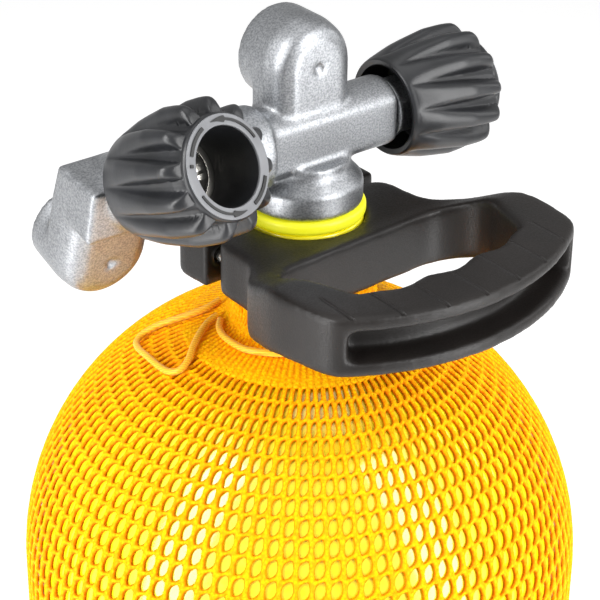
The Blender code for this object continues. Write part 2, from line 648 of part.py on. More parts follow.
def outlet_shapes():
    """What both valves share round their outlet, in a frame with the outlet's front along -Y and the post along +Z.

    Returns the shapes that are joined to the casting, and the cutters for the socket and the dimple.
    """
    back = np.array([0.0, 0.18, 0.45, 1.0])  # of the way from the lobe's face to the post's full width
    widths = LOBE_HALF_WIDTH + (BOSS_RADIUS - LOBE_HALF_WIDTH) * np.sqrt(1 - (1 - back) ** 2)
    levels = np.append(LOBE_FRONT + back * LOBE_ROUND, BOSS_ROOT_BACK)
    sections = []
    for level, width in zip(levels, np.append(widths, BOSS_RADIUS)):
        arch = arc((0, OUTLET_OFFSET), width, 0, 180, 16)
        sections.append([(x, level, z) for x, z in arch + [(-width, 0), (width, 0)]])
    boss_start = LOBE_FRONT + LOBE_ROUND
    round_boss = rod(BOSS_RADIUS, (0, boss_start, OUTLET_OFFSET), (0, BOSS_BACK, OUTLET_OFFSET), 32)
    floor = BOSS_BACK - OUTLET_DEPTH
    socket = rod(OUTLET_BORE, (0, floor, OUTLET_OFFSET), (0, BOSS_BACK + SINK, OUTLET_OFFSET), 32)
    cone = lathe([(0, DIMPLE_DEPTH), (DIMPLE_RADIUS * 1.3, -0.3 * DIMPLE_DEPTH), (0, -0.3 * DIMPLE_DEPTH)], 16)
    facing = Matrix.Translation((0, LOBE_FRONT, OUTLET_OFFSET)) @ Matrix.Rotation(math.radians(-90), 4, "X")
    return [lofted(sections), round_boss], [socket, moved(cone, facing)]


def valve_body(holder, material):
    """The main casting: threaded stem, collar, barrel and post, bored for the gas, the spindle and the outlet."""
    boss_adds, boss_cuts = outlet_shapes()
    collar_low = COLLAR_BOTTOM - BARREL_Z
    stem_top = NECK_TOP + FIT - BARREL_Z
    collar_top = collar_low + COLLAR_HEIGHT
    collar = [(0, stem_top - STEM_LENGTH), (STEM_RADIUS, stem_top - STEM_LENGTH), (STEM_RADIUS, stem_top)]
    collar += [(STEM_FLANGE_RADIUS, stem_top), (STEM_FLANGE_RADIUS, collar_low), (COLLAR_RADIUS, collar_low)]
    collar += [(COLLAR_RADIUS, collar_top), (BODY_HALF_WIDTH, collar_top + 5 * MM), (BODY_HALF_WIDTH, 0), (0, 0)]
    barrel = moved(
        lathe([(0, UNION_START), (BARREL_RADIUS, UNION_START), (BARREL_RADIUS, BARREL_END), (0, BARREL_END)], 36),
        Matrix.Rotation(math.radians(90), 4, "Y"),
    )
    union = rod(UNION_RADIUS, (UNION_END, 0, 0), (UNION_START + SINK, 0, 0), 36)
    mill = box(
        (UNION_START, -3 * BARREL_RADIUS, -BARREL_FLAT * 0.8),
        (BARREL_END + SINK, -BARREL_FLAT, 2 * BARREL_RADIUS),
    )
    chamber_floor = MAIN_KNOB_BACK - SEAT_BEHIND_KNOB
    chamber = rod(CHAMBER_RADIUS, (chamber_floor, 0, 0), (BARREL_END + SINK, 0, 0), 24)
    socket_floor = UNION_END + CONNECTOR_SOCKET_DEPTH
    cuts = boss_cuts + [
        mill,
        chamber,
        rod(GAS_BORE, (socket_floor - SINK, 0, 0), (chamber_floor + SINK, 0, 0), 12),
        rod(GAS_BORE, (0, 0, stem_top - STEM_LENGTH - SINK), (0, 0, 0), 12),
        rod(DIP_TUBE_RADIUS + FIT, (0, 0, stem_top - STEM_LENGTH - SINK),
            (0, 0, stem_top - STEM_LENGTH + DIP_TUBE_SOCKET), 16),
        rod(CONNECTOR_RADIUS + FIT, (UNION_END - SINK, 0, 0), (socket_floor, 0, 0), 24),
        rod(GAS_BORE * 0.8, (chamber_floor + 4 * MM, 5 * MM, 0), (8 * MM, 8 * MM, OUTLET_OFFSET - 5 * MM), 12),
    ]
    return piece(
        "valve_body", lathe(collar, 36), holder, material,
        adds=[barrel, union] + boss_adds, cuts=cuts, solver="MANIFOLD",
    )


def dip_tube(holder, material):
    low = NECK_TOP + FIT - BARREL_Z - STEM_LENGTH + DIP_TUBE_SOCKET - FIT - DIP_TUBE_LENGTH
    shape = tube(DIP_TUBE_RADIUS, DIP_TUBE_BORE, low, low + DIP_TUBE_LENGTH, 16)
    return piece("dip_tube", shape, holder, material)


def second_frame():
    """The second valve's frame: +Z is its post, which hangs down and back, and -Y is its outlet's front."""
    return Matrix.Rotation(math.pi + SECOND_TILT, 4, "X") @ Matrix.Rotation(math.pi, 4, "Z")


def second_knob_direction():
    rise = SECOND_KNOB_RISE
    lean = SECOND_KNOB_LEAN
    return Vector((math.sin(lean), -math.cos(lean) * math.cos(rise), math.cos(lean) * math.sin(rise)))


def second_valve_body(holder, material):
    """The add-on casting: a square block at the end of the cross arm, its outlet post and a round spindle boss."""
    boss_adds, boss_cuts = outlet_shapes()
    section = [(y * MM, z * MM) for y, z in SECOND_BLOCK_SECTION]
    block = extruded(section, -BOSS_RADIUS, BOSS_RADIUS, axes="yzx")
    along = (second_frame().inverted() @ second_knob_direction()).normalized()
    boss_end = SECOND_KNOB_BACK - (MAIN_KNOB_BACK - BARREL_END)
    chamber_floor = SECOND_KNOB_BACK - SEAT_BEHIND_KNOB
    spindle_boss = rod(BARREL_RADIUS, (0, 0, 0), along * boss_end, 36)
    to_main = second_frame().inverted().to_3x3() @ Vector((1, 0, 0))
    inner_end = BOSS_RADIUS
    gas_turn = along * (chamber_floor + SINK)
    cuts = boss_cuts + [
        rod(KNOB_WAIST_RADIUS + KNOB_CLEARANCE, along * boss_end, along * (2 * boss_end), 36),
        rod(CHAMBER_RADIUS, along * chamber_floor, along * (boss_end + SINK), 24),
        rod(GAS_BORE, (0, 0, 0), to_main * (inner_end + SINK), 12),
        rod(CONNECTOR_RADIUS + FIT, to_main * (inner_end - CONNECTOR_SOCKET_DEPTH * 0.5),
            to_main * (inner_end + SINK), 24),
        rod(GAS_BORE * 0.8, gas_turn, along * (chamber_floor - 4 * MM), 12),
        rod(GAS_BORE * 0.8, along * (chamber_floor - 3 * MM), (0, 6 * MM, OUTLET_OFFSET - 8 * MM), 12),
    ]
    return piece(
        "second_valve_body", block, holder, material,
        adds=[spindle_boss] + boss_adds, cuts=cuts, solver="MANIFOLD",
    )


def cross_connector(holder, finish):
    """The threaded tube that carries the second valve, its lock nut and its two O-rings, along -X."""
    start = UNION_END + CONNECTOR_SOCKET_DEPTH - FIT
    end = SECOND_X + BOSS_RADIUS - CONNECTOR_SOCKET_DEPTH * 0.5 + FIT
    turned = Matrix.Rotation(math.radians(90), 4, "Y")
    flange_low = SECOND_X + BOSS_RADIUS + FIT
    flange_high = UNION_END - LOCK_NUT_LENGTH - 2 * FIT
    profile = [(GAS_BORE, end), (CONNECTOR_RADIUS, end), (CONNECTOR_RADIUS, flange_low)]
    profile += [(CONNECTOR_FLANGE_RADIUS, flange_low), (CONNECTOR_FLANGE_RADIUS, flange_high)]
    profile += [(CONNECTOR_RADIUS, flange_high), (CONNECTOR_RADIUS, start), (GAS_BORE, start)]
    seal = CONNECTOR_SEAL_SECTION
    main_groove = (start - 3.5 * seal, start - 0.8 * seal)
    groove_radius = CONNECTOR_RADIUS - 2 * seal + FIT
    groove = tube(CONNECTOR_RADIUS + SINK, groove_radius, main_groove[0], main_groove[1], 24)
    piece("cross_connector", moved(lathe(profile, 24), turned), holder, finish["casting"],
          cuts=[moved(groove, turned)])
    seal_x = (main_groove[0] + main_groove[1]) / 2
    ring = torus(groove_radius + FIT + seal * 0.8, seal * 0.8, seal_x, 20)
    piece("connector_seal", moved(ring, turned), holder, finish["seal"])
    nut = extruded(polygon(6, LOCK_NUT_WIDTH), UNION_END - LOCK_NUT_LENGTH - FIT, UNION_END - FIT)
    hole = rod(CONNECTOR_RADIUS + FIT, (0, 0, UNION_END - 2 * LOCK_NUT_LENGTH), (0, 0, UNION_END + SINK), 24)
    piece("connector_lock_nut", moved(nut, turned), holder, finish["casting"], cuts=[moved(hole, turned)])


def knob_mesh():
    """The handwheel: a skirt that swells towards its face, with twelve ribs that lean and end in round tips.

    The radius is r(t, a) = valley(t) + rib(t) * ridge(a): valley and rib follow t along the axis, and ridge is a
    raised cosine of twelve waves whose phase turns with t.
    """
    t = np.array([0.0, 0.05, 0.3, 0.55, 0.75, 0.86, 0.94, 1.0])
    valley = np.interp(t, [0, 0.05, 0.6, 0.9, 1], [0.97, 1.0, 1.0, 1.0, 1.0])
    base = np.interp(t, [0, 0.25, 0.75, 0.94, 1],
                     [KNOB_BACK_RADIUS, KNOB_WAIST_RADIUS, KNOB_WAIST_RADIUS, KNOB_FACE_RADIUS + 0.6 * MM,
                      KNOB_FACE_RADIUS])
    rib = KNOB_RIB_HEIGHT * np.interp(t, [0, 0.05, 0.3, 0.75, 0.86, 0.94, 1], [0, 0, 0.45, 1, 0.95, 0.35, 0])
    angles = np.arange(KNOB_SIDES) * (2 * math.pi / KNOB_SIDES)
    phase = KNOB_RIBS * (angles[None, :] - KNOB_RIB_TWIST * t[:, None])
    ridge = np.clip(0.5 + 0.8 * np.cos(phase), 0, 1)
    radius = (base * valley)[:, None] + rib[:, None] * ridge
    outer = np.stack([radius * np.cos(angles), radius * np.sin(angles),
                      np.broadcast_to((t * KNOB_LENGTH)[:, None], radius.shape)], axis=-1)
    hub_low = KNOB_BACK_BORE_DEPTH
    hub_high = KNOB_BACK_BORE_DEPTH + KNOB_HUB_THICKNESS
    hole = SPINDLE_SQUARE * 0.5
    inner = [(KNOB_FRONT_BORE, KNOB_LENGTH), (KNOB_FRONT_BORE, hub_high), (hole, hub_high)]
    inner += [(hole, hub_low), (KNOB_BACK_BORE, hub_low), (KNOB_BACK_BORE, 0)]
    points = outer.reshape(-1, 3).tolist()
    for ring_radius, height in inner:
        points += [(ring_radius * math.cos(a), ring_radius * math.sin(a), height) for a in angles]
    rows = len(t) + len(inner)
    faces = []
    for row in range(rows):
        below = row * KNOB_SIDES
        above = (row + 1) % rows * KNOB_SIDES
        for i in range(KNOB_SIDES):
            j = (i + 1) % KNOB_SIDES
            faces.append((below + i, below + j, above + j, above + i))
    return points, faces


def axis_frame(centre, direction):
    """A frame at this point whose +Z runs along the direction."""
    return Matrix.Translation(centre) @ direction.to_track_quat("Z", "Y").to_matrix().to_4x4()


def spindle_group(prefix, frame, knob_back, finish):
    """One valve's moving parts and its bonnet, along +Z of the given frame."""
    holder = empty_at(f"{prefix}_spindle_axis", frame)
    seat = knob_back - SEAT_BEHIND_KNOB
    plunger_low = seat + FIT
    plunger_high = plunger_low + PLUNGER_LENGTH
    thrust_low = plunger_high + TRAVEL + FIT
    thrust_high = thrust_low + THRUST_THICKNESS
    hub_low = knob_back + KNOB_BACK_BORE_DEPTH
    hub_high = hub_low + KNOB_HUB_THICKNESS
    tongue_low = plunger_high - TONGUE_GRIP
    nut_low = hub_high + KNOB_WASHER_THICKNESS + 2 * FIT
    tip = knob_back + SPINDLE_TIP
    bonnet_low = thrust_high + FIT
    bonnet_seat = knob_back - (MAIN_KNOB_BACK - BARREL_END)
    bonnet_high = bonnet_seat + FIT + BONNET_FLANGE_LENGTH
    shoulder = hub_low - FIT

    slot_half = TONGUE_THICKNESS / 2 + FIT
    slot = box((-CHAMBER_RADIUS, -slot_half, plunger_high - PLUNGER_SLOT_DEPTH),
               (CHAMBER_RADIUS, slot_half, plunger_high + SINK))
    plunger = rod(CHAMBER_RADIUS - 2 * FIT, (0, 0, plunger_low), (0, 0, plunger_high), 24)
    piece(f"{prefix}_seat_plunger", plunger, holder, finish["nylon"], cuts=[slot])

    profile = [(0, thrust_low), (THRUST_RADIUS, thrust_low), (THRUST_RADIUS, thrust_high)]
    profile += [(SPINDLE_RADIUS, thrust_high), (SPINDLE_RADIUS, shoulder), (0, shoulder)]
    tongue = box((-TONGUE_HALF_WIDTH, -TONGUE_THICKNESS / 2, tongue_low),
                 (TONGUE_HALF_WIDTH, TONGUE_THICKNESS / 2, thrust_low + SINK))
    square_half = SPINDLE_SQUARE / 2 - FIT
    square = box((-square_half, -square_half, shoulder - SINK), (square_half, square_half, hub_high))
    thread = rod(SPINDLE_THREAD_RADIUS - FIT, (0, 0, hub_high - SINK), (0, 0, tip), 16)
    slot_cut = box((-SPINDLE_RADIUS, -0.5 * MM, tip - 1.5 * MM), (SPINDLE_RADIUS, 0.5 * MM, tip + SINK))
    piece(f"{prefix}_spindle", lathe(profile, 24), holder, finish["bright"],
          adds=[tongue, square, thread], cuts=[slot_cut])

    bore = SPINDLE_RADIUS + FIT
    seal_low = bonnet_seat - 4 * SPINDLE_SEAL_SECTION
    groove_high = seal_low + 2.6 * SPINDLE_SEAL_SECTION
    groove_radius = bore + 2 * SPINDLE_SEAL_SECTION
    profile = [(bore, bonnet_low), (CHAMBER_RADIUS - FIT, bonnet_low), (CHAMBER_RADIUS - FIT, bonnet_seat + FIT)]
    profile += [(BONNET_FLANGE_RADIUS, bonnet_seat + FIT), (BONNET_FLANGE_RADIUS, bonnet_high), (bore, bonnet_high)]
    profile += [(bore, groove_high), (groove_radius, groove_high), (groove_radius, seal_low), (bore, seal_low)]
    flats = []
    for turn in range(6):
        chip = box((BONNET_FLANGE_RADIUS * 0.9, -BONNET_FLANGE_RADIUS, bonnet_seat + 2 * MM),
                   (BONNET_FLANGE_RADIUS * 2, BONNET_FLANGE_RADIUS, bonnet_high + SINK))
        flats.append(moved(chip, Matrix.Rotation(turn * math.pi / 3, 4, "Z")))
    piece(f"{prefix}_bonnet_nut", lathe(profile, 24), holder, finish["casting"], cuts=flats)

    seal_z = (seal_low + groove_high) / 2
    seal_ring = torus(bore + SPINDLE_SEAL_SECTION, SPINDLE_SEAL_SECTION - FIT / 2, seal_z, 16)
    piece(f"{prefix}_spindle_seal", seal_ring, holder, finish["seal"])

    wheel = moved(knob_mesh(), Matrix.Translation((0, 0, knob_back)))
    corner = SPINDLE_SQUARE / 2
    socket = box((-corner, -corner, hub_low - SINK), (corner, corner, hub_high + SINK))
    piece(f"{prefix}_handwheel", wheel, holder, finish["rubber"], cuts=[socket])
    washer_low = hub_high + FIT
    washer = tube(KNOB_WASHER_RADIUS, SPINDLE_THREAD_RADIUS, washer_low, washer_low + KNOB_WASHER_THICKNESS, 16)
    piece(f"{prefix}_handwheel_washer", washer, holder, finish["bright"])
    nut = extruded(polygon(6, 2 * KNOB_NUT_RADIUS * math.cos(math.pi / 6)), nut_low, nut_low + KNOB_NUT_HEIGHT)
    nut_hole = rod(SPINDLE_THREAD_RADIUS, (0, 0, nut_low - SINK), (0, 0, nut_low + 2 * KNOB_NUT_HEIGHT), 16)
    piece(f"{prefix}_handwheel_nut", nut, holder, finish["bright"], cuts=[nut_hole])


def main():
    clear_scene()
    finish = finishes()
    tank = empty_at("tank_frame", Matrix.Identity(4))
    cylinder(tank, finish["steel_paint"])
    net_cover(tank, finish["net"])
    boot(tank, finish["boot"])
    cord("drawstring", DRAWSTRING_ROUTE, tank, finish["net"])
    cord("drawstring_tail", DRAWSTRING_TAIL_ROUTE, tank, finish["net"])
    handle = empty_at("handle_frame", Matrix.Rotation(HANDLE_TURN, 4, "Z"))
    handle_grip(handle, finish["handle"])
    handle_clamp(handle, finish["handle"])
    clamp_fasteners(handle, finish)
    neck_parts(tank, finish)
    valve_centre = Vector((0, 0, BARREL_Z))
    valve = empty_at("valve_frame", Matrix.Translation(valve_centre))
    valve_body(valve, finish["casting"])
    dip_tube(valve, finish["bright"])
    cross_connector(valve, finish)
    second_centre = Vector((SECOND_X, 0, BARREL_Z))
    second = empty_at("second_valve_frame", Matrix.Translation(second_centre) @ second_frame())
    second_valve_body(second, finish["casting"])
    spindle_group("main", axis_frame(valve_centre, Vector((1, 0, 0))), MAIN_KNOB_BACK, finish)
    spindle_group("second", axis_frame(second_centre, second_knob_direction()), SECOND_KNOB_BACK, finish)


main()
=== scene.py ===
"""Scuba tank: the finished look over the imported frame, laid out as an add-on and run as a script.

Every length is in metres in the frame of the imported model: +Z is up, +X runs along the valve's barrel
towards the main handwheel, and -Y points towards the carrying grip.
"""

import json
import math

import bmesh
import bpy
import numpy as np
from bpy.props import FloatProperty, FloatVectorProperty, IntProperty, PointerProperty
from mathutils import Matrix, Vector


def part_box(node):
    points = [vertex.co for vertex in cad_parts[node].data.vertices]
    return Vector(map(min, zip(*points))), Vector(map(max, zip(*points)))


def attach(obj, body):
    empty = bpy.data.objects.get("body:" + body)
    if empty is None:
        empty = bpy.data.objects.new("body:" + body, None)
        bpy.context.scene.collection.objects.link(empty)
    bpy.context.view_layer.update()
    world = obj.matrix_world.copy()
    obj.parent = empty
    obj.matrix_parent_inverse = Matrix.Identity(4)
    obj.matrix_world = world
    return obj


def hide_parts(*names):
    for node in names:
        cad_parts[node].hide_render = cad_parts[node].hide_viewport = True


bl_info = {
    "name": "Scuba Tank",
    "version": (1, 0, 0),
    "blender": (4, 5, 0),
    "location": "View3D > Sidebar > Tank",
    "description": "Builds a netted scuba tank with its valves, handle and boot",
    "category": "Add Mesh",
}

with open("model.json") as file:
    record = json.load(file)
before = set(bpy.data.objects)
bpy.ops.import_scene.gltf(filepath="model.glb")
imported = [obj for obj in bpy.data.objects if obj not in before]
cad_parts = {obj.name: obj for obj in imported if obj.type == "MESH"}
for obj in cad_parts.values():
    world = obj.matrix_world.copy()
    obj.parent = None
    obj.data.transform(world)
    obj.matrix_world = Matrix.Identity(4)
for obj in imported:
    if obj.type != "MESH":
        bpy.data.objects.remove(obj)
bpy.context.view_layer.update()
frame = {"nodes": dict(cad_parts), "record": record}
MM = 0.001
# The tank: its radius and wall, the heights of its round base's and shoulder's centres, and its neck's top
TANK_RADIUS = 0.102
WALL = 0.005
BASE_Z = 0.1103
SHOULDER_Z = 0.3843
NECK_TOP = 0.5248
# The boot's ribs, and its drain holes between them
BOOT_RIBS = 8
# The valves: the height of the barrel's axis, and the place along it of the second valve's post
BARREL_Z = 0.5548
SECOND_X = -0.0793
SECOND_POST_TURN = math.radians(18.0)
SECOND_WHEEL_LEAN = math.radians(9.4)
SECOND_WHEEL_RISE = math.radians(27.0)
# The net: the gap under it, the thickness of its strands, and the radius on which its rows are measured
NET_GAP = 0.0003
NET_THICK = 0.0017
NET_ROW_RADIUS = 0.103
# Where its rows start and stop, as rises along the surface from the shoulder's edge
NET_BOTTOM = -0.300
NET_TOP = 0.1205
# The top of the sleeve into which it is gathered round the neck
SLEEVE_TOP = 0.5020
# The camera: its turn, rise and roll in degrees, and how far it stands back, right and up from the shoulder
CAMERA_ANGLES = (-37.77476, 29.154028, 0.7187387)
CAMERA_PLACE = (0.8105339, 0.0001505, 0.091138)
FLOOR_REACH = 6.0
HANDLE_VOXEL = 0.0009
# A handwheel: its length, the level inside it that its nut seats on, and its face ring and marks
WHEEL_LENGTH = 0.040
HUB_LEVEL = 0.0190
FACE_RING_LEVELS = (0.0394, 0.04045)
MARK_LEVELS = (0.0403, 0.0409)
MARK_RADIUS = 0.01455
MARK_WIDTH = 0.0011
# Each mark on a face: where it starts and ends in degrees, and whether an arrowhead ends it
MARKS = ((20, 95, True), (110, 150, False), (160, 164, False), (200, 275, True), (290, 330, False))
# The drawstring from above, in millimetres from the tank's axis
CORD_DIAMETER = 0.0024
CORD_STEP = 0.0016
DRAWSTRING_ROUTE = (
    (-20.5, 22.5), (-26, 22.5), (-31.5, 25.5), (-36.5, 30.5), (-40.5, 35), (-44.5, 37.2), (-48.3, 35.5),
    (-50.8, 30), (-52.5, 22), (-53.8, 13.5), (-53.8, 6.5), (-51.3, 3), (-47, 4.2), (-42.5, 7.8), (-37.5, 11),
    (-32, 13.8), (-27.5, 14.2),
)
DRAWSTRING_TAIL_ROUTE = (
    (-28.5, 10.8), (-31.5, 7.5), (-33.3, 2.5), (-33.6, -3.5), (-32.8, -9), (-30.5, -13.5), (-27.2, -18),
    (-23.5, -21.5),
)


# ---------------------------------------------------------------- materials


def linear(code):
    """Linear RGBA of an sRGB hex value."""
    given = np.array([int(code[i:i + 2], 16) for i in (0, 2, 4)]) / 255
    curve = np.where(given <= 0.04045, given / 12.92, ((given + 0.055) / 1.055) ** 2.4)
    return (*curve.tolist(), 1.0)


def add_node(tree, kind, inputs=None, stops=(), **settings):
    """A node with its settings; an input that is a socket is linked, and any other is its value.

    stops are a colour ramp's places and their sRGB hex values.
    """
    made = tree.nodes.new(kind)
    for name, value in settings.items():
        setattr(made, name, value)
    for name, value in (inputs or {}).items():
        if isinstance(value, bpy.types.NodeSocket):
            tree.links.new(value, made.inputs[name])
        else:
            made.inputs[name].default_value = value
    if stops:
        line = made.color_ramp
        while len(line.elements) < len(stops):
            line.elements.new(0.5)
        for element, (at, code) in zip(line.elements, stops):
            element.position = at
            element.color = linear(code)
    return made


def principled(name, **values):
    """A new material and its tree and shader, with these values on the shader's own sockets."""
    made = bpy.data.materials.new(name)
    made.use_nodes = True
    shader = made.node_tree.nodes["Principled BSDF"]
    for key, value in values.items():
        shader.inputs[key.replace("_", " ")].default_value = value
    return made, made.node_tree, shader


def place(tree, scale=(1, 1, 1)):
    """Object coordinates times a scale, so that one unit of the pattern is 1 / scale metres."""
    where = add_node(tree, "ShaderNodeTexCoord")
    return add_node(tree, "ShaderNodeMapping", {"Vector": where.outputs["Object"], "Scale": scale}).outputs[0]


def mottle(tree, scale, stops, detail=2.0, stretch=(1, 1, 1)):
    """A soft noise of scale cells a metre, and the colour that runs through the stops with it."""
    where = {"Vector": place(tree, stretch), "Scale": scale, "Detail": detail}
    noise = add_node(tree, "ShaderNodeTexNoise", where).outputs["Fac"]
    return noise, add_node(tree, "ShaderNodeValToRGB", {"Fac": noise}, stops).outputs["Color"]


def surface(tree, shader, colour, height=None, strength=0.0, distance=0.0):
    """Links the shader's colour, and its relief from a height whose full swing is distance metres.

    colour is None where the finish is one colour all over, and height is None where it is smooth.
    """
    if colour is not None:
        tree.links.new(colour, shader.inputs["Base Color"])
    if height is not None:
        relief = {"Height": height, "Strength": strength, "Distance": distance}
        tree.links.new(add_node(tree, "ShaderNodeBump", relief).outputs["Normal"], shader.inputs["Normal"])


def knitted_polyethylene():
    """Knitted flat polyethylene yarn: matt, saturated amber, with sparkling stitches; a deeper orange on the
    hole walls, the strands' backs and in the gathered pleats is painted shade.
    """
    made, tree, shader = principled("knitted_polyethylene_yarn", Roughness=0.6, Specular_IOR_Level=0.08)
    # stitches of 1.1 mm: real ones are 0.8 mm, drawn coarser so that they show
    stitch = add_node(tree, "ShaderNodeTexVoronoi", {"Vector": place(tree, (1, 1, 0.8)), "Scale": 900.0})
    colour = add_node(
        tree, "ShaderNodeValToRGB", {"Fac": stitch.outputs["Distance"]},
        [(0.0, "FFCE00"), (0.40, "FFBA00"), (0.75, "F59200")],
    )
    _, patch = mottle(tree, 140.0, [(0.3, "FFB000"), (0.7, "FFC800")], 3.0)
    knit = add_node(
        tree, "ShaderNodeMix", {"Factor": 0.35, "A": colour.outputs["Color"], "B": patch}, data_type="RGBA",
    )
    # painted shade: a point attribute darkens the knit to a deeper orange on hole walls, strand backs and
    # pleat valleys
    depth = add_node(tree, "ShaderNodeAttribute", attribute_name="depth")
    sides = add_node(tree, "ShaderNodeMix", {
        "Factor": depth.outputs["Fac"], "A": knit.outputs["Result"], "B": linear("D86A00"),
    }, data_type="RGBA")
    surface(tree, shader, sides.outputs["Result"], stitch.outputs["Distance"], 0.6, 0.0007)
    return made


def braided_cord():
    """A braided polypropylene cord: the same yellow, smoother, with a fine twill of plaits."""
    made, tree, shader = principled("braided_polypropylene_cord", Roughness=0.5, Sheen_Weight=0.2)
    twill = {"Vector": place(tree), "Scale": 420.0, "Distortion": 3.0, "Detail": 2.0}
    wave = add_node(tree, "ShaderNodeTexWave", twill, bands_direction="DIAGONAL").outputs["Fac"]
    colour = add_node(tree, "ShaderNodeValToRGB", {"Fac": wave}, [(0.1, "F0A200"), (0.7, "FFC414")])
    surface(tree, shader, colour.outputs["Color"], wave, 0.4, 0.0003)
    return made


def enamelled_steel():
    """Sprayed and stoved two-part enamel on steel: lemon yellow, high gloss, a faint orange peel."""
    made, tree, shader = principled(
        "stoved_enamel_on_steel", Roughness=0.3, Coat_Weight=1.0, Coat_Roughness=0.08,
    )
    peel, tint = mottle(tree, 260.0, [(0.35, "FFEC00"), (0.7, "FFF32A")])
    surface(tree, shader, tint, peel, 0.06, 0.0004)
    return made


def satin_chrome():
    """Brass forging, glass-bead blasted and then chromed: pale silver grey that sparkles with fine grain."""
    made, tree, shader = principled("bead_blasted_chrome_plate", Metallic=1.0)
    grain, speck = mottle(tree, 1500.0, [(0.32, "85878A"), (0.68, "B0B2B5")])
    cloud = add_node(tree, "ShaderNodeTexNoise", {"Vector": place(tree), "Scale": 60.0, "Detail": 4.0})
    rough = add_node(
        tree, "ShaderNodeMapRange",
        {"Value": cloud.outputs["Fac"], "From Min": 0.3, "From Max": 0.7, "To Min": 0.40, "To Max": 0.50},
    )
    tree.links.new(rough.outputs["Result"], shader.inputs["Roughness"])
    surface(tree, shader, speck, grain, 0.32, 0.00016)
    return made


def bright_nickel():
    """Turned and nickel-plated brass: smooth and mirror-like, with fine turning marks."""
    made, tree, shader = principled(
        "bright_nickel_on_brass", Metallic=1.0, Roughness=0.16, Base_Color=linear("D9D6CE"),
    )
    turning = add_node(
        tree, "ShaderNodeTexNoise", {"Vector": place(tree, (9000, 700, 700)), "Scale": 1.0, "Detail": 2.0},
    )
    surface(tree, shader, None, turning.outputs["Fac"], 0.08, 0.00008)
    return made


def moulded_nylon():
    """Glass-filled nylon from a spark-eroded mould: warm black, fine sandy texture, soft worn sheen."""
    made, tree, shader = principled("textured_glass_filled_nylon", IOR=1.5, Specular_IOR_Level=0.36)
    _, tint = mottle(tree, 45.0, [(0.3, "120F0D"), (0.7, "1B1715")], 4.0)
    grit = {"Vector": place(tree), "Scale": 1500.0, "Detail": 2.0}
    sand = add_node(tree, "ShaderNodeTexNoise", grit).outputs["Fac"]
    rough = add_node(
        tree, "ShaderNodeMapRange",
        {"Value": sand, "From Min": 0.3, "From Max": 0.7, "To Min": 0.36, "To Max": 0.52},
    )
    tree.links.new(tint, shader.inputs["Base Color"])
    tree.links.new(rough.outputs["Result"], shader.inputs["Roughness"])
    # thin grooves across the grip, every 15 mm, only where the grip_top attribute is 1
    stripe = add_node(
        tree, "ShaderNodeTexWave", {"Vector": place(tree), "Scale": 21.0},
        bands_direction="X", wave_profile="SIN",
    )
    line = add_node(
        tree, "ShaderNodeValToRGB", {"Fac": stripe.outputs["Fac"]}, [(0.0, "000000"), (0.035, "FFFFFF")],
    )
    mask = add_node(tree, "ShaderNodeAttribute", attribute_name="grip_top")
    grooves = add_node(tree, "ShaderNodeMix", {
        "Factor": mask.outputs["Fac"], "A": (1, 1, 1, 1), "B": line.outputs["Color"],
    }, data_type="RGBA")
    first = add_node(tree, "ShaderNodeBump", {
        "Height": grooves.outputs["Result"], "Strength": 0.9, "Distance": 0.0007,
    })
    second = add_node(tree, "ShaderNodeBump", {
        "Height": sand, "Strength": 0.3, "Distance": 0.00025, "Normal": first.outputs["Normal"],
    })
    tree.links.new(second.outputs["Normal"], shader.inputs["Normal"])
    return made


def moulded_rubber(name, dark, light, roughness):
    """Compression-moulded rubber: dark neutral grey, dull, with a fine bloom that softens its highlights."""
    made, tree, shader = principled(name, Roughness=roughness, IOR=1.52)
    _, tint = mottle(tree, 90.0, [(0.3, dark), (0.7, light)], 5.0)
    fine = add_node(tree, "ShaderNodeTexNoise", {"Vector": place(tree), "Scale": 1300.0, "Detail": 2.0})
    surface(tree, shader, tint, fine.outputs["Fac"], 0.16, 0.0002)
    return made


def fluorescent_acetal():
    """Turned fluorescent acetal: an even greenish yellow with a dull lathe finish, and a painted glow from
    emission.
    """
    # painted glow: the emission stands in for the acetal's real fluorescence, but it shines alike whether
    # light reaches it or not
    made, tree, shader = principled(
        "fluorescent_acetal", Roughness=0.42, Emission_Strength=0.22, Emission_Color=linear("E8F000"),
    )
    fine, tint = mottle(tree, 700.0, [(0.3, "F0EA1C"), (0.7, "FAF53C")], stretch=(1, 1, 6))
    surface(tree, shader, tint, fine, 0.1, 0.0002)
    return made


def natural_nylon():
    """Turned natural nylon: milky white, slightly translucent."""
    made, tree, shader = principled("natural_nylon", Roughness=0.4, Subsurface_Weight=0.2)
    _, tint = mottle(tree, 400.0, [(0.3, "E6E3D6"), (0.7, "F0EEE4")])
    surface(tree, shader, tint)
    return made


MATERIALS = {}


def material(name):
    """The finish of this record slot, made the first time it is asked for."""
    makers = {
        "steel_paint": enamelled_steel,
        "net": knitted_polyethylene,
        "cord": braided_cord,
        "boot": lambda: moulded_rubber("moulded_boot_rubber", "141414", "1F1F20", 0.6),
        "handle": moulded_nylon,
        "casting": satin_chrome,
        "rubber": lambda: moulded_rubber("moulded_handwheel_rubber", "161719", "202124", 0.36),
        "face": lambda: moulded_rubber("moulded_face_plastic", "6C6D70", "7A7B7E", 0.45),
        "ring": fluorescent_acetal,
        "seal": lambda: moulded_rubber("nitrile_rubber", "0E0E0E", "161616", 0.45),
        "bright": bright_nickel,
        "nylon": natural_nylon,
    }
    if name not in MATERIALS:
        MATERIALS[name] = makers[name]()
    return MATERIALS[name]


# ---------------------------------------------------------------- meshes


def merge(mesh, outwards=True):
    """Merges a mesh's repeated corners away and, unless its faces are right already, turns them outwards."""
    work = bmesh.new()
    work.from_mesh(mesh)
    bmesh.ops.remove_doubles(work, verts=work.verts, dist=1e-6)
    if outwards:
        bmesh.ops.recalc_face_normals(work, faces=work.faces)
    work.to_mesh(mesh)
    work.free()


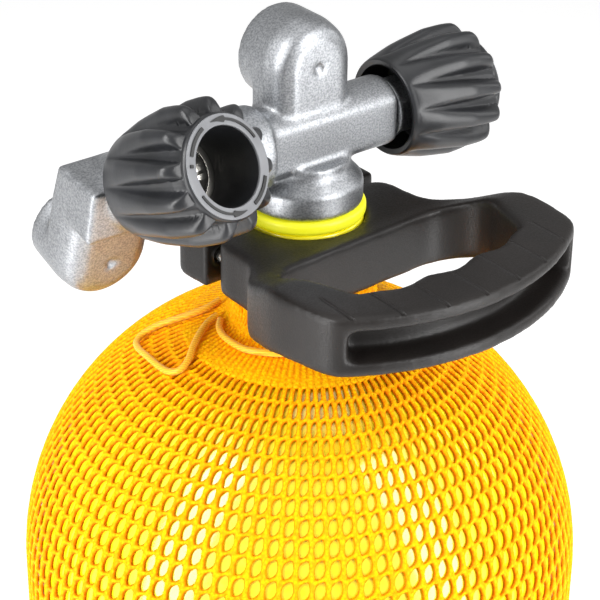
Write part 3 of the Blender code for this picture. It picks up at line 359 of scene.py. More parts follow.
def shape_object(name, points, faces):
    """A linked object from points and faces, merged, with no finish yet."""
    mesh = bpy.data.meshes.new(name)
    mesh.from_pydata(np.asarray(points).tolist(), [], np.asarray(faces).tolist())
    merge(mesh)
    made = bpy.data.objects.new(name, mesh)
    bpy.context.scene.collection.objects.link(made)
    return made


def mesh_piece(name, points, faces, slot, body="tank", finish=None, sharp=40.0, depth=None):
    """An object from arrays of points and of four-cornered faces; repeated corners are merged away.

    Where given, the last argument is each point's share of painted shade, from 0 to 1, kept as an attribute
    for the material.
    """
    mesh = bpy.data.meshes.new(name)
    points = np.ascontiguousarray(points, np.float32).reshape(-1, 3)
    faces = np.ascontiguousarray(faces, np.int32).reshape(-1, 4)
    mesh.vertices.add(len(points))
    mesh.vertices.foreach_set("co", points.ravel())
    mesh.loops.add(faces.size)
    mesh.loops.foreach_set("vertex_index", faces.ravel())
    mesh.polygons.add(len(faces))
    mesh.polygons.foreach_set("loop_start", np.arange(0, faces.size, 4, dtype=np.int32))
    mesh.update(calc_edges=True)
    if depth is not None:
        shade = mesh.attributes.new("depth", "FLOAT", "POINT")
        shade.data.foreach_set("value", depth.astype(np.float32).ravel())
    merge(mesh)
    mesh.validate()
    return finished(bpy.data.objects.new(name, mesh), slot, body, finish, sharp)


def finished(made, slot, body="tank", finish=None, sharp=40.0):
    """Links an object, and gives it its finish, its shading and its body."""
    if made.name not in bpy.context.scene.collection.objects:
        bpy.context.scene.collection.objects.link(made)
    made.data.materials.clear()
    made.data.materials.append(material(finish or slot))
    if made.type == "MESH":
        made.data.shade_smooth()
        made.data.set_sharp_from_angle(angle=math.radians(sharp))
    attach(made, body)
    return made


def loop_faces(rows, columns, close_rows=True):
    """Four-cornered faces of a grid that wraps round in its columns, and in its rows if they close."""
    last = rows if close_rows else rows - 1
    i, j = np.meshgrid(np.arange(last), np.arange(columns), indexing="ij")
    up = (i + 1) % rows
    along = (j + 1) % columns
    corners = [i * columns + j, i * columns + along, up * columns + along, up * columns + j]
    return np.stack(corners, axis=-1).reshape(-1, 4)


def about_axis(radius, angle, height):
    """Points (r cos a, r sin a, h) from arrays that broadcast to one shape."""
    return np.stack(np.broadcast_arrays(radius * np.cos(angle), radius * np.sin(angle), height), axis=-1)


def turned(profile, sides):
    """Points and faces of a closed profile of (radius, height), turned about Z."""
    profile = np.asarray(profile, float)
    angle = np.linspace(0, 2 * math.pi, sides, endpoint=False)
    points = about_axis(profile[:, 0][:, None], angle, profile[:, 1][:, None])
    return points.reshape(-1, 3), loop_faces(len(profile), sides)


def shoulder_arc(radius, bends):
    """A profile over the round shoulder: (R cos b, Z + R sin b) about the shoulder's centre."""
    return np.column_stack([radius * np.cos(bends), SHOULDER_Z + radius * np.sin(bends)])


def base_arc(radius, bends):
    """A profile under the round base: (R sin b, Z - R cos b) about the base's centre."""
    return np.column_stack([radius * np.sin(bends), BASE_Z - radius * np.cos(bends)])


def bar_faces(count, copies=1):
    """The four sides of a bar that runs between four lines of count points each, for each of its copies."""
    start = np.arange(copies)[:, None, None] * 4 * count
    line = np.arange(4)[None, :, None]
    step = np.arange(count - 1)[None, None, :]
    low = start + line * count + step
    high = start + (line + 1) % 4 * count + step
    return np.stack([low, low + 1, high + 1, high], -1).reshape(-1, 4)


def soft_ring(radii, levels, edge, steps, sides):
    """A flat ring between two radii and two levels: a turned oblong whose corners are eased."""
    (inner, outer), (low, high) = radii, levels
    return turned(eased([(inner, low), (outer, low), (outer, high), (inner, high)], edge, steps), sides)


def joined(shapes):
    """One (points, faces) from several, each one's faces counted on from the points before it."""
    starts = np.cumsum([0] + [len(points) for points, faces in shapes])
    faces = np.concatenate([faces + start for (points, faces), start in zip(shapes, starts)])
    return np.concatenate([points for points, faces in shapes]), faces


def eased(profile, radius, steps=5):
    """A closed profile with each corner replaced by a curve that starts this far along both its sides."""
    given = np.asarray(profile, float)
    before = np.roll(given, 1, axis=0)
    after = np.roll(given, -1, axis=0)
    back = before - given
    ahead = after - given
    reach_back = np.minimum(radius, 0.45 * np.linalg.norm(back, axis=1))[:, None]
    reach_ahead = np.minimum(radius, 0.45 * np.linalg.norm(ahead, axis=1))[:, None]
    start = given + back / np.linalg.norm(back, axis=1)[:, None] * reach_back
    end = given + ahead / np.linalg.norm(ahead, axis=1)[:, None] * reach_ahead
    t = np.linspace(0, 1, steps + 1)[None, :, None]
    curve = start[:, None] * (1 - t) ** 2 + given[:, None] * 2 * t * (1 - t) + end[:, None] * t**2
    rounded = curve.reshape(-1, 2)
    rounded[:, 0] = np.where(np.repeat(given[:, 0] == 0, steps + 1), 0.0, rounded[:, 0])
    return rounded


def moved(points, matrix):
    """Points taken through a four-by-four matrix."""
    turn = np.array(matrix)
    return np.asarray(points) @ turn[:3, :3].T + turn[:3, 3]


def second_frame():
    """The second valve's frame: +Z is its post, which hangs down and back, and -Y is its outlet's front."""
    turn = Matrix.Rotation(math.pi + SECOND_POST_TURN, 4, "X") @ Matrix.Rotation(math.pi, 4, "Z")
    return Matrix.Translation((SECOND_X, 0, BARREL_Z)) @ turn


def knob_frame(which):
    """A frame on the handwheel's axis, +Z outwards, where that axis crosses its valve's post."""
    if which == "main":
        centre = Vector((0, 0, BARREL_Z))
        way = Vector((1, 0, 0))
    else:
        lean = SECOND_WHEEL_LEAN
        rise = SECOND_WHEEL_RISE
        centre = Vector((SECOND_X, 0, BARREL_Z))
        way = Vector((math.sin(lean), -math.cos(lean) * math.cos(rise), math.cos(lean) * math.sin(rise)))
    return Matrix.Translation(centre) @ way.to_track_quat("Z", "Y").to_matrix().to_4x4()


def copy_of(node, name):
    """A merged copy of a CAD node's mesh, linked to the scene."""
    mesh = frame["nodes"][node].data.copy()
    merge(mesh, outwards=False)
    made = bpy.data.objects.new(name, mesh)
    bpy.context.scene.collection.objects.link(made)
    return made


def applied(made):
    """The object with its modifiers baked into its mesh."""
    graph = bpy.context.evaluated_depsgraph_get()
    graph.update()
    result = bpy.data.meshes.new_from_object(made.evaluated_get(graph))
    made.modifiers.clear()
    old = made.data
    made.data = result
    bpy.data.meshes.remove(old)
    return made


def softened(made, voxel, rounds):
    """The solid with rounded edges: remeshed in even voxels and relaxed, which fillets each corner alike."""
    remesh = made.modifiers.new("even", "REMESH")
    remesh.mode = "VOXEL"
    remesh.voxel_size = voxel
    remesh.use_smooth_shade = True
    relax = made.modifiers.new("relax", "SMOOTH")
    relax.factor = 0.5
    relax.iterations = rounds
    return applied(made)


def cut_by(made, shapes):
    """The object less these shapes, each given as (points, faces)."""
    helpers = [shape_object("cutter", points, faces) for points, faces in shapes]
    for helper in helpers:
        step = made.modifiers.new("cut", "BOOLEAN")
        step.operation = "DIFFERENCE"
        step.solver = "EXACT"
        step.object = helper
    applied(made)
    for helper in helpers:
        bpy.data.objects.remove(helper)
    return made


# ---------------------------------------------------------------- settings


class NetSettings(bpy.types.PropertyGroup):
    """The knitted net's mesh"""

    columns: IntProperty(name="Columns", description="Holes round the tank", default=105, min=40, max=160)
    pitch: FloatProperty(
        name="Row pitch", description="Distance from one row of holes to the next on the straight wall",
        default=0.0080, unit="LENGTH",
    )
    yarn: FloatProperty(
        name="Strand width", description="Width of the knitted strand between two holes",
        default=0.0018, unit="LENGTH",
    )
    lean: FloatProperty(
        name="Lean", description="Sideways lean of each hole for its height", default=0.30, subtype="FACTOR",
    )


class WheelSettings(bpy.types.PropertyGroup):
    """The handwheels' ribs"""

    ribs: IntProperty(name="Ribs", description="Ribs round a handwheel", default=12, min=6, max=24)
    rib_height: FloatProperty(
        name="Rib height", description="How far a rib stands off the skirt at its tip",
        default=0.0048, unit="LENGTH",
    )
    twist: FloatProperty(
        name="Twist", description="Turn of a rib from the back rim to the face", default=math.radians(16.0),
        subtype="ANGLE",
    )


class CastingSettings(bpy.types.PropertyGroup):
    """The valve castings' soft edges"""

    voxel: FloatProperty(
        name="Voxel", description="Grain of the soft-edged castings", default=0.0008, unit="LENGTH",
    )
    rounds: IntProperty(
        name="Softness", description="Rounds of relaxing on the castings", default=14, min=1, max=60,
    )


class StageSettings(bpy.types.PropertyGroup):
    """The floor and the camera"""

    floor_colour: FloatVectorProperty(
        name="Floor", description="Colour of the floor", subtype="COLOR",
        default=(0.93, 0.93, 0.93), min=0, max=1,
    )
    lens: FloatProperty(name="Lens", description="Focal length of the camera in millimetres", default=127.27)


class TankSettings(bpy.types.PropertyGroup):
    """All of the tank's settings"""

    net: PointerProperty(type=NetSettings, name="Net")
    wheel: PointerProperty(type=WheelSettings, name="Handwheels")
    casting: PointerProperty(type=CastingSettings, name="Castings")
    stage: PointerProperty(type=StageSettings, name="Stage")


# ---------------------------------------------------------------- stage and cords


def area_light(name, at, towards, size, size_y, power):
    """A soft white rectangle of light that faces a point."""
    data = bpy.data.lights.new(name, "AREA")
    data.shape = "RECTANGLE"
    data.size = size
    data.size_y = size_y
    data.energy = power
    made = bpy.data.objects.new(name, data)
    bpy.context.scene.collection.objects.link(made)
    made.location = at
    made.rotation_euler = (Vector(towards) - Vector(at)).to_track_quat("-Z", "Y").to_euler()
    made.visible_camera = False


class SCUBA_OT_stage(bpy.types.Operator):
    """Adds the floor, the camera, the pale surroundings and the soft lights"""

    bl_idname = "scuba.stage"
    bl_label = "Stage"

    def execute(self, context):
        given = context.scene.scuba_tank.stage
        azimuth, elevation, roll = (math.radians(angle) for angle in CAMERA_ANGLES)
        across = math.cos(elevation)
        back = Vector((math.sin(azimuth) * across, -math.cos(azimuth) * across, math.sin(elevation)))
        right = Vector((math.cos(azimuth), math.sin(azimuth), 0))
        up = right.cross(-back)
        turned_right = right * math.cos(roll) + up * math.sin(roll)
        turned_up = up * math.cos(roll) - right * math.sin(roll)
        away, aside, above = CAMERA_PLACE
        eye = back * away + turned_right * aside + turned_up * above + Vector((0, 0, SHOULDER_Z))
        data = bpy.data.cameras.new("camera")
        data.lens = given.lens
        data.sensor_width = 36.0
        data.clip_start = 0.01
        camera = bpy.data.objects.new("camera", data)
        context.scene.collection.objects.link(camera)
        facing = Matrix((turned_right, turned_up, back)).transposed().to_4x4()
        camera.matrix_world = Matrix.Translation(eye) @ facing
        context.scene.camera = camera

        floor = bpy.data.meshes.new("floor")
        corners = [(x * FLOOR_REACH, y * FLOOR_REACH, 0) for x, y in ((-1, -1), (1, -1), (1, 1), (-1, 1))]
        floor.from_pydata(corners, [], [(0, 1, 2, 3)])
        ground = bpy.data.objects.new("floor", floor)
        context.scene.collection.objects.link(ground)
        # matt white acrylic, lit from below like a light table, so that it stays pale to its far end
        acrylic, _, _ = principled(
            "matt_white_acrylic", Roughness=0.8, Base_Color=(*given.floor_colour, 1),
            Emission_Strength=0.42, Emission_Color=(1, 1, 1, 1),
        )
        floor.materials.append(acrylic)

        world = bpy.data.worlds.new("pale_room")
        world.use_nodes = True
        light = world.node_tree.nodes["Background"].inputs
        light["Color"].default_value = (1, 1, 1, 1)
        light["Strength"].default_value = 0.45
        context.scene.world = world
        context.scene.view_settings.view_transform = "Standard"

        flat_back = Vector((back.x, back.y, 0)).normalized()
        # two tall softboxes beside the camera give the narrow upright highlights on the barrel and the net
        for name, turn in (("left_softbox", -50.0), ("right_softbox", 57.0)):
            way = Matrix.Rotation(math.radians(turn), 3, "Z") @ flat_back
            area_light(name, way * 0.66 + Vector((0, 0, 0.62)), (0, 0, 0.42), 0.26, 1.15, 7.5)
        area_light("key", right * -0.9 + flat_back * 0.6 + Vector((0, 0, 1.7)), (0, 0, 0.5), 0.7, 0.7, 5.5)
        area_light("top", flat_back * -0.2 + Vector((0, 0, 1.9)), (0, 0, 0.5), 1.0, 1.0, 4.0)
        area_light("rim", right * 1.1 + flat_back * -0.3 + Vector((0, 0, 1.1)), (0, 0, 0.5), 0.4, 0.9, 3.0)
        return {"FINISHED"}


def cord_points(route, diameter):
    """A smooth line through the route that lies on the net, as heights over the shoulder's round end.

    Between two of the route's points it is the Catmull-Rom cubic of them and their neighbours. Its height is
    the root of lie squared less r squared, where lie is the radius of the cord's middle and r is how far the
    point is from the tank's axis.
    """
    given = np.array(route, float) * MM
    ends = np.vstack([2 * given[0] - given[1], given, 2 * given[-1] - given[-2]])
    t = np.linspace(0, 1, 20, endpoint=False)[None, :, None]
    a, b, c, d = (ends[k:len(ends) - 3 + k][:, None] for k in range(4))
    fine = 0.5 * (2 * b + (c - a) * t + (2 * a - 5 * b + 4 * c - d) * t**2 + (3 * b - a - 3 * c + d) * t**3)
    fine = np.vstack([fine.reshape(-1, 2), given[-1:]])
    lie = TANK_RADIUS + NET_GAP + NET_THICK + NET_GAP + diameter / 2
    return np.column_stack([fine, SHOULDER_Z + np.sqrt(lie**2 - (fine**2).sum(axis=1))])


class SCUBA_OT_cords(bpy.types.Operator):
    """Adds the drawstring's loose loop and its tail, which lie on the net's shoulder"""

    bl_idname = "scuba.cords"
    bl_label = "Drawstring"

    def execute(self, context):
        for name, route in (("drawstring", DRAWSTRING_ROUTE), ("drawstring_tail", DRAWSTRING_TAIL_ROUTE)):
            points = cord_points(route, CORD_DIAMETER)
            run = np.concatenate([[0], np.cumsum(np.linalg.norm(np.diff(points, axis=0), axis=1))])
            wanted = np.linspace(0, run[-1], 2 + int(run[-1] / CORD_STEP))
            line = np.stack([np.interp(wanted, run, points[:, k]) for k in range(3)], axis=1)
            curve = bpy.data.curves.new(f"{name}_braid", "CURVE")
            curve.dimensions = "3D"
            curve.bevel_depth = CORD_DIAMETER / 2
            curve.bevel_resolution = 4
            curve.use_fill_caps = True
            spline = curve.splines.new("POLY")
            spline.points.add(len(line) - 1)
            spline.points.foreach_set("co", np.column_stack([line, np.ones(len(line))]).ravel())
            made = bpy.data.objects.new(f"{name}_braid", curve)
            context.scene.collection.objects.link(made)
            finished(made, "net", finish="cord")
            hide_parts(name)
        return {"FINISHED"}


# ---------------------------------------------------------------- net


def on_tank(angle, rise, height):
    """Points over the wall or the round shoulder, at a rise along the surface from the shoulder's edge.

    Above the edge the rise over the rows' radius is an angle b, and the point is (R cos b, Z + R sin b),
    where R is the tank's radius plus the height; below it, the rise is a drop down the wall.
    """
    bend = np.clip(rise, 0, None) / NET_ROW_RADIUS
    radius = (TANK_RADIUS + height) * np.cos(bend)
    level = SHOULDER_Z + (TANK_RADIUS + height) * np.sin(bend) + np.clip(rise, None, 0)
    return about_axis(radius, angle, level)


def row_levels(pitch):
    """Rises of the rows' middles and their pitches: the stitches close up a little over the shoulder."""
    levels = [NET_BOTTOM]
    while levels[-1] < NET_TOP:
        share = float(np.clip(levels[-1] / 0.07, 0, 1))
        levels.append(levels[-1] + pitch * (1 - 0.15 * share))
    return np.array(levels)


# A cell's own edge, clockwise from its top, in widths and heights of the cell
RIM = np.array([
    (0, 0.5), (0.5, 0.5), (0.5, 0.25), (0.5, 0), (0.5, -0.25), (0.5, -0.5), (0, -0.5), (-0.5, -0.5),
    (-0.5, -0.25), (-0.5, 0), (-0.5, 0.25), (-0.5, 0.5),
])
# The turn about the hole of the point that faces each of those
TURNS = np.radians([0, 36, 63, 90, 117, 144, 180, 216, 243, 270, 297, 324])
# Each ring of a cell's points: how far it is from the hole's edge to the cell's, its height over the steel
# (None where it is the crest, which varies), and its share of painted shade, a deeper orange that is full at
# the hole's edge and weaker on the strand's back
CELL_RINGS = (
    (0.05, 0.0004, 1.0), (0.0, 0.0008, 0.85), (0.45, 0.00145, 0.15), (1.0, None, 0.0), (1.0, 0.00035, 0.3),
)


def net_band(levels, low, high, given):
    """The rows of the net from one level to another, as closed cells.

    In each cell, x runs round the tank in columns and y up it in rows. The hole's edge is
    (a sin t + lean y |cos t|, b cos t), with sin t raised to a power that points its top and bottom. The
    cell's own edge is an oblong sheared by a quarter of a row, so that the strands between two rows climb as
    they go round. Rings of points join hole and edge: back, wall, crest, the strand's middle and its back.
    """
    columns = given.columns
    row = np.arange(low, high)
    middle = (levels[row] + levels[row + 1]) / 2
    pitch = levels[row + 1] - levels[row]
    radius = TANK_RADIUS * np.cos(np.clip(middle, 0, None) / NET_ROW_RADIUS)
    width = 2 * math.pi * radius / columns
    share = np.clip((middle - 0.01) / 0.11, 0, 1)
    half = np.maximum((width - given.yarn * (1 - 0.12 * share)) / 2, 0.00012) / width
    tall = 0.47 - 0.05 * share
    seed = np.random.RandomState(7 + low)
    wander = 1 + 0.05 * seed.uniform(-1, 1, (len(row), columns, 1))
    bend = np.sign(np.sin(TURNS)) * np.abs(np.sin(TURNS)) ** 1.25
    along = np.broadcast_to(tall[:, None, None] * np.cos(TURNS), (len(row), columns, len(TURNS)))
    squeeze = np.minimum(1.0, 2.8 * half) * pitch / width
    tips = along * np.abs(np.cos(TURNS))
    across = half[:, None, None] * wander * bend + given.lean * squeeze[:, None, None] * tips
    rim_x = np.broadcast_to(RIM[:, 0], across.shape)
    rim_y = np.broadcast_to(RIM[:, 1] + 0.25 * RIM[:, 0], across.shape)
    rim_height = np.where(RIM[:, 0] == 0, 0.00130, 0.00165) + np.where(np.abs(RIM[:, 1]) == 0.25, 0.00005, 0)
    rings = []
    for reach, height, _ in CELL_RINGS:
        x = across + (rim_x - across) * reach
        y = along + (rim_y - along) * reach
        lift = np.broadcast_to(rim_height if height is None else height, x.shape)
        angle = (np.arange(columns)[None, :, None] + x) * (2 * math.pi / columns)
        rise = np.interp(row[:, None, None] + 0.5 + y, np.arange(len(levels)), levels)
        rings.append(on_tank(angle, rise, lift))
    points = np.stack(rings, axis=2)
    rows = len(row)
    sides = len(TURNS)
    cell = len(CELL_RINGS) * sides
    base = (np.arange(rows * columns) * cell).reshape(-1, 1)
    here = np.arange(sides)
    there = (here + 1) % sides
    quads = []
    for ring, following in ((0, 1), (1, 2), (2, 3), (4, 0)):
        near = ring * sides
        far = following * sides
        quads.append(np.stack([near + here, near + there, far + there, far + here], -1))
    faces = [(base[:, None] + np.concatenate(quads)[None]).reshape(-1, 4)]
    # the band's top and bottom rows are closed between the crest and its back
    front = 3 * sides
    rear = 4 * sides
    for end, edges in ((rows - 1, ((0, 1), (11, 0), (1, 2))), (0, ((5, 6), (6, 7), (7, 8)))):
        start = (np.arange(columns) + end * columns) * cell
        for a, b in edges:
            faces.append(start[:, None] + np.array([front + a, front + b, rear + b, rear + a]))
    # painted shade: each ring's share of the deeper orange, full at the hole's edge and weaker on the
    # strand's back
    ring_shade = np.array([shade_share for _, _, shade_share in CELL_RINGS])
    depth = np.broadcast_to(ring_shade[:, None], points.shape[:-1])
    return points.reshape(-1, 3), np.concatenate(faces), depth.reshape(-1)


def gathered_net(start_rise, columns):
    """The net's top, drawn together: a closed sleeve from the shoulder up round the neck, a pleat a strand.

    Radius and height follow a smooth path. The outer side is lifted by a raised cosine of the angle, times a
    share that grows towards the neck, by small stitches along the path, and by a frill round the sleeve.
    """
    start = start_rise / NET_ROW_RADIUS
    path = shoulder_arc(TANK_RADIUS + 0.0016, np.linspace(start, math.radians(72.5), 14))
    end = path[-1]
    knots = np.array([
        end, (0.0272, end[1] + 0.0022), (0.0256, end[1] + 0.0065), (0.0254, 0.4965), (0.0252, SLEEVE_TOP),
    ])
    t = np.linspace(0, len(knots) - 1, 26)
    climb = np.column_stack([np.interp(t, range(len(knots)), knots[:, k]) for k in range(2)])
    smooth = climb.copy()
    smooth[1:-1] = (climb[:-2] + 2 * climb[1:-1] + climb[2:]) / 4
    outer = np.vstack([path, smooth[1:]])
    under = shoulder_arc(TANK_RADIUS + 0.0004, np.linspace(math.radians(73.0), start, 6))
    inner = np.vstack([(0.0242, SLEEVE_TOP), (0.0242, 0.4900), under])
    sides = columns * 6
    angle = np.linspace(0, 2 * math.pi, sides, endpoint=False)
    rows = np.arange(len(outer))[:, None]
    seed = np.random.RandomState(3)
    drift = np.interp(angle, np.linspace(0, 2 * math.pi, 24), np.append(seed.uniform(-1, 1, 23), 0)) * 1.2
    share = np.clip(rows / 12, 0.35, 1)
    pleat = 0.5 + 0.5 * np.cos(columns * angle + 0.5 * drift * rows / 12)
    knit = 0.5 + 0.5 * np.cos(rows * math.pi * 0.9 + columns * angle / 2)
    lift = 0.0013 * share * (pleat**1.2 - 0.55) + 0.00022 * knit
    frill = np.clip((rows - 14) / 20, 0, 1) * 0.0006 * np.cos(17 * angle + 1.3 * np.sin(5 * angle))
    points = np.concatenate([
        about_axis(outer[:, 0][:, None] + lift + frill, angle, outer[:, 1][:, None]),
        about_axis(inner[:, 0][:, None], angle, inner[:, 1][:, None]),
    ])
    # painted shade: the valleys between the pleats take the deeper orange, with less of it near the shoulder
    low = np.clip(0.75 - pleat * 1.3, 0, 1) * np.clip(rows / 6, 0.3, 1)
    depth = np.concatenate([low, np.zeros((len(inner), sides))])
    return points.reshape(-1, 3), loop_faces(len(outer) + len(inner), sides), depth.ravel()


def cloth_area(made):
    """Area of the cloth itself in square metres: half of a closed piece's surface, its holes left out."""
    area = np.empty(len(made.data.polygons), np.float32)
    made.data.polygons.foreach_get("area", area)
    return float(area.sum()) / 2


class SCUBA_OT_net(bpy.types.Operator):
    """Adds the knitted net in bands of open cells, and its gathered top"""

    bl_idname = "scuba.net"
    bl_label = "Net"

    def execute(self, context):
        given = context.scene.scuba_tank.net
        levels = row_levels(given.pitch)
        bounds = np.linspace(1, len(levels) - 2, 6).round().astype(int)
        for index, (low, high) in enumerate(zip(bounds, bounds[1:])):
            points, faces, depth = net_band(levels, low, high, given)
            made = mesh_piece(f"net_band_{index + 1}", points, faces, "net", sharp=180, depth=depth)
            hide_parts("net_cover")
            cloth_area(made)
        points, faces, depth = gathered_net(float(levels[-2]) - 0.0010, given.columns)
        made = mesh_piece("net_gathered_top", points, faces, "net", sharp=180, depth=depth)
        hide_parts("net_cover")
        cloth_area(made)
        return {"FINISHED"}


# ---------------------------------------------------------------- cylinder, boot and ring


class SCUBA_OT_cylinder(bpy.types.Operator):
    """Adds the enamelled steel cylinder: a lathe profile with half-round ends, hollow and open at the neck"""

    bl_idname = "scuba.cylinder"
    bl_label = "Cylinder"

    def execute(self, context):
        inner = TANK_RADIUS - WALL
        outside = base_arc(TANK_RADIUS, np.radians(np.linspace(0, 90, 24)))
        shoulder = shoulder_arc(TANK_RADIUS, np.radians(np.linspace(0, 74.5, 30)))
        neck = [(0.0228, 0.4858), (0.0214, 0.4880), (0.0210, 0.4910), (0.0210, 0.5244), (0.0206, NECK_TOP)]
        mouth = [(0.0164, NECK_TOP), (0.0164, 0.5213), (0.0125, 0.5213)]
        hollow = shoulder_arc(inner, np.radians(np.linspace(82.6, 0, 24)))
        bowl = base_arc(inner, np.radians(np.linspace(90, 0, 16)))
        outside[0, 0] = 0
        bowl[-1, 0] = 0
        profile = np.vstack([outside, shoulder, neck, mouth, hollow, bowl])
        made = mesh_piece("cylinder_enamelled", *turned(profile, 160), "steel_paint", sharp=50)
        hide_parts("cylinder")
        return {"FINISHED"}


class SCUBA_OT_boot(bpy.types.Operator):
    """Adds the rubber boot: a turned cup with a foot bead, a lip and drain holes, and its radial ribs"""

    bl_idname = "scuba.boot"
    bl_label = "Boot"

    def execute(self, context):
        wall, bowl = 0.1078, 0.1043
        profile = [
            (0, 0), (0.1090, 0), (0.1098, 0.0012), (0.1098, 0.0080), (wall, 0.0105), (wall, 0.030),
            (0.1084, 0.0308), (0.1084, 0.0332), (wall, 0.0340), (wall, 0.0860), (0.1088, 0.0885),
            (0.1088, 0.0938), (0.1076, 0.0950), (0.1052, 0.0950), (bowl, 0.0940), (bowl, 0.0090),
            (0.1015, 0.0060), (0, 0.0060),
        ]
        made = shape_object("boot_moulded", *turned(eased(profile, 0.0007, 3), 200))
        plug = turned([(0, -0.002), (0.006, -0.002), (0.006, 0.009), (0, 0.009)], 32)
        drains = []
        for index in range(BOOT_RIBS):
            angle = math.radians(22.5 + 45 * index)
            aside = np.array([0.058 * math.cos(angle), 0.058 * math.sin(angle), 0])
            drains.append((plug[0] + aside, plug[1]))
        cut_by(made, drains)
        finished(made, "boot", sharp=35)
        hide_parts("boot")
        # the ribs run in from the wall between the drains, and the round base rests on their tops
        near, far = 0.0150, 0.1042
        level = 0.0062
        half = 0.00175
        seat = base_arc(0.1046, np.radians(np.linspace(8.2, 78, 18)))
        outline = np.vstack([seat, [(far, 0.0885), (far, level)], [(near, level)]])
        foot = np.column_stack([np.clip(outline[:, 0], near, far), np.full(len(outline), level)])
        ribs = []
        for index in range(BOOT_RIBS):
            turn = np.array(Matrix.Rotation(math.radians(45 * index), 3, "Z"))
            lines = []
            for line, y in ((outline, -half), (outline, half), (foot, half), (foot, -half)):
                lines.append(np.column_stack([line[:, 0], np.full(len(line), y), line[:, 1]]) @ turn.T)
            ribs.append(np.stack(lines))
        points = np.stack(ribs)
        mesh_piece("boot_ribs", points.reshape(-1, 3), bar_faces(len(outline), BOOT_RIBS), "boot", sharp=35)
        return {"FINISHED"}


class SCUBA_OT_neck_ring(bpy.types.Operator):
    """Adds the coloured ring under the valve's collar, turned with a soft barrel edge"""

    bl_idname = "scuba.neck_ring"
    bl_label = "Neck ring"

    def execute(self, context):
        low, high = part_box("neck_ring")
        inner = 0.0165
        steps = np.linspace(-1, 1, 13)
        bulge = 0.0217 - 0.0009 * steps**4
        height = (low.z + high.z) / 2 + (high.z - low.z) / 2 * steps
        profile = np.vstack([[(inner, low.z)], np.column_stack([bulge, height]), [(inner, high.z)]])
        made = mesh_piece("neck_ring_turned", *turned(profile, 160), "ring", sharp=50)
        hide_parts("neck_ring")
        return {"FINISHED"}


# ---------------------------------------------------------------- castings, handle, fittings


def dimple_shape(matrix):
    """A shallow cone that marks the middle of an outlet's closed front, turned about its own axis."""
    cone = turned([(0, 0.0020), (0.0031, -0.0008), (0, -0.0008)], 36)
    facing = matrix @ Matrix.Translation((0, -0.0075, 0.0255)) @ Matrix.Rotation(math.radians(-90), 4, "X")
    return moved(cone[0], facing), cone[1]


class SCUBA_OT_castings(bpy.types.Operator):
    """Adds the two valve castings with soft forged edges and a crisp conical dimple in each front"""

    bl_idname = "scuba.castings"
    bl_label = "Valve castings"

    def execute(self, context):
        given = context.scene.scuba_tank.casting
        places = {"valve_body": Matrix.Translation((0, 0, BARREL_Z)), "second_valve_body": second_frame()}
        for node, place_of in places.items():
            made = softened(copy_of(node, f"{node}_forged"), given.voxel, given.rounds)
            cut_by(made, [dimple_shape(place_of)])
            finished(made, "casting", sharp=50)
            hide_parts(node)
        return {"FINISHED"}


class SCUBA_OT_handle(bpy.types.Operator):
    """Adds the moulded handle and its rear clamp with rounded edges, and marks where its grooves go"""

    bl_idname = "scuba.handle"
    bl_label = "Handle"

    def execute(self, context):
        for node, rounds in (("handle_grip", 34), ("handle_clamp", 14)):
            made = softened(copy_of(node, f"{node}_moulded"), HANDLE_VOXEL, rounds)
            finished(made, "handle", sharp=70)
            count = len(made.data.vertices)
            where = np.empty(count * 3, np.float32)
            facing = np.empty(count * 3, np.float32)
            made.data.vertices.foreach_get("co", where)
            made.data.vertices.foreach_get("normal", facing)
            where = where.reshape(-1, 3)
            facing = facing.reshape(-1, 3)
            high = float(where[:, 2].max())
            mask = np.clip((facing[:, 2] - 0.8) * 8, 0, 1) * np.clip((-0.066 - where[:, 1]) / 0.002, 0, 1)
            mask = mask * np.clip((where[:, 2] - high + 0.006) / 0.002, 0, 1)
            painted = made.data.attributes.new("grip_top", "FLOAT", "POINT")
            painted.data.foreach_set("value", mask.astype(np.float32))
            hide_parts(node)
        return {"FINISHED"}


# The body that each node rides on
BODY_OF = {node: body for body, members in frame["record"]["behaviour"]["bodies"].items() for node in members}
# Each fitting's slot, and the width of its broken edges
FITTINGS = {
    "cross_connector": ("casting", 0.0004), "connector_lock_nut": ("casting", 0.0006),
    "main_bonnet_nut": ("casting", 0.0003), "second_bonnet_nut": ("casting", 0.0003),
    "main_handwheel_nut": ("bright", 0.0003), "second_handwheel_nut": ("bright", 0.0003),
    "main_handwheel_washer": ("bright", 0.0002), "second_handwheel_washer": ("bright", 0.0002),
    "main_spindle": ("bright", 0.0001), "second_spindle": ("bright", 0.0001),
    "clamp_screw_left": ("bright", 0.0003), "clamp_screw_right": ("bright", 0.0003),
    "clamp_nut_left": ("bright", 0.0003), "clamp_nut_right": ("bright", 0.0003),
}
# The parts inside, which keep their own meshes and take a finish
INNER_NODES = {
    "dip_tube": "bright", "neck_seal": "seal", "connector_seal": "seal", "main_spindle_seal": "seal",
    "second_spindle_seal": "seal", "main_seat_plunger": "nylon", "second_seat_plunger": "nylon",
}


class SCUBA_OT_fittings(bpy.types.Operator):
    """Adds the turned nuts, screws, washers and spindles, and finishes the hidden inner parts"""

    bl_idname = "scuba.fittings"
    bl_label = "Fittings"

    def execute(self, context):
        for node, (slot, edge) in FITTINGS.items():
            made = copy_of(node, f"{node}_turned")
            work = bmesh.new()
            work.from_mesh(made.data)
            bmesh.ops.dissolve_limit(work, angle_limit=math.radians(1), verts=work.verts, edges=work.edges)
            work.to_mesh(made.data)
            work.free()
            bevel = made.modifiers.new("broken_edges", "BEVEL")
            bevel.width = edge
            bevel.segments = 2
            bevel.limit_method = "ANGLE"
            bevel.angle_limit = math.radians(40)
            finished(applied(made), slot, BODY_OF[node], sharp=35)
            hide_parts(node)
        for node, slot in INNER_NODES.items():
            obj = frame["nodes"][node]
            for place_of in obj.material_slots:
                place_of.material = material(slot)
        return {"FINISHED"}


# ---------------------------------------------------------------- handwheels


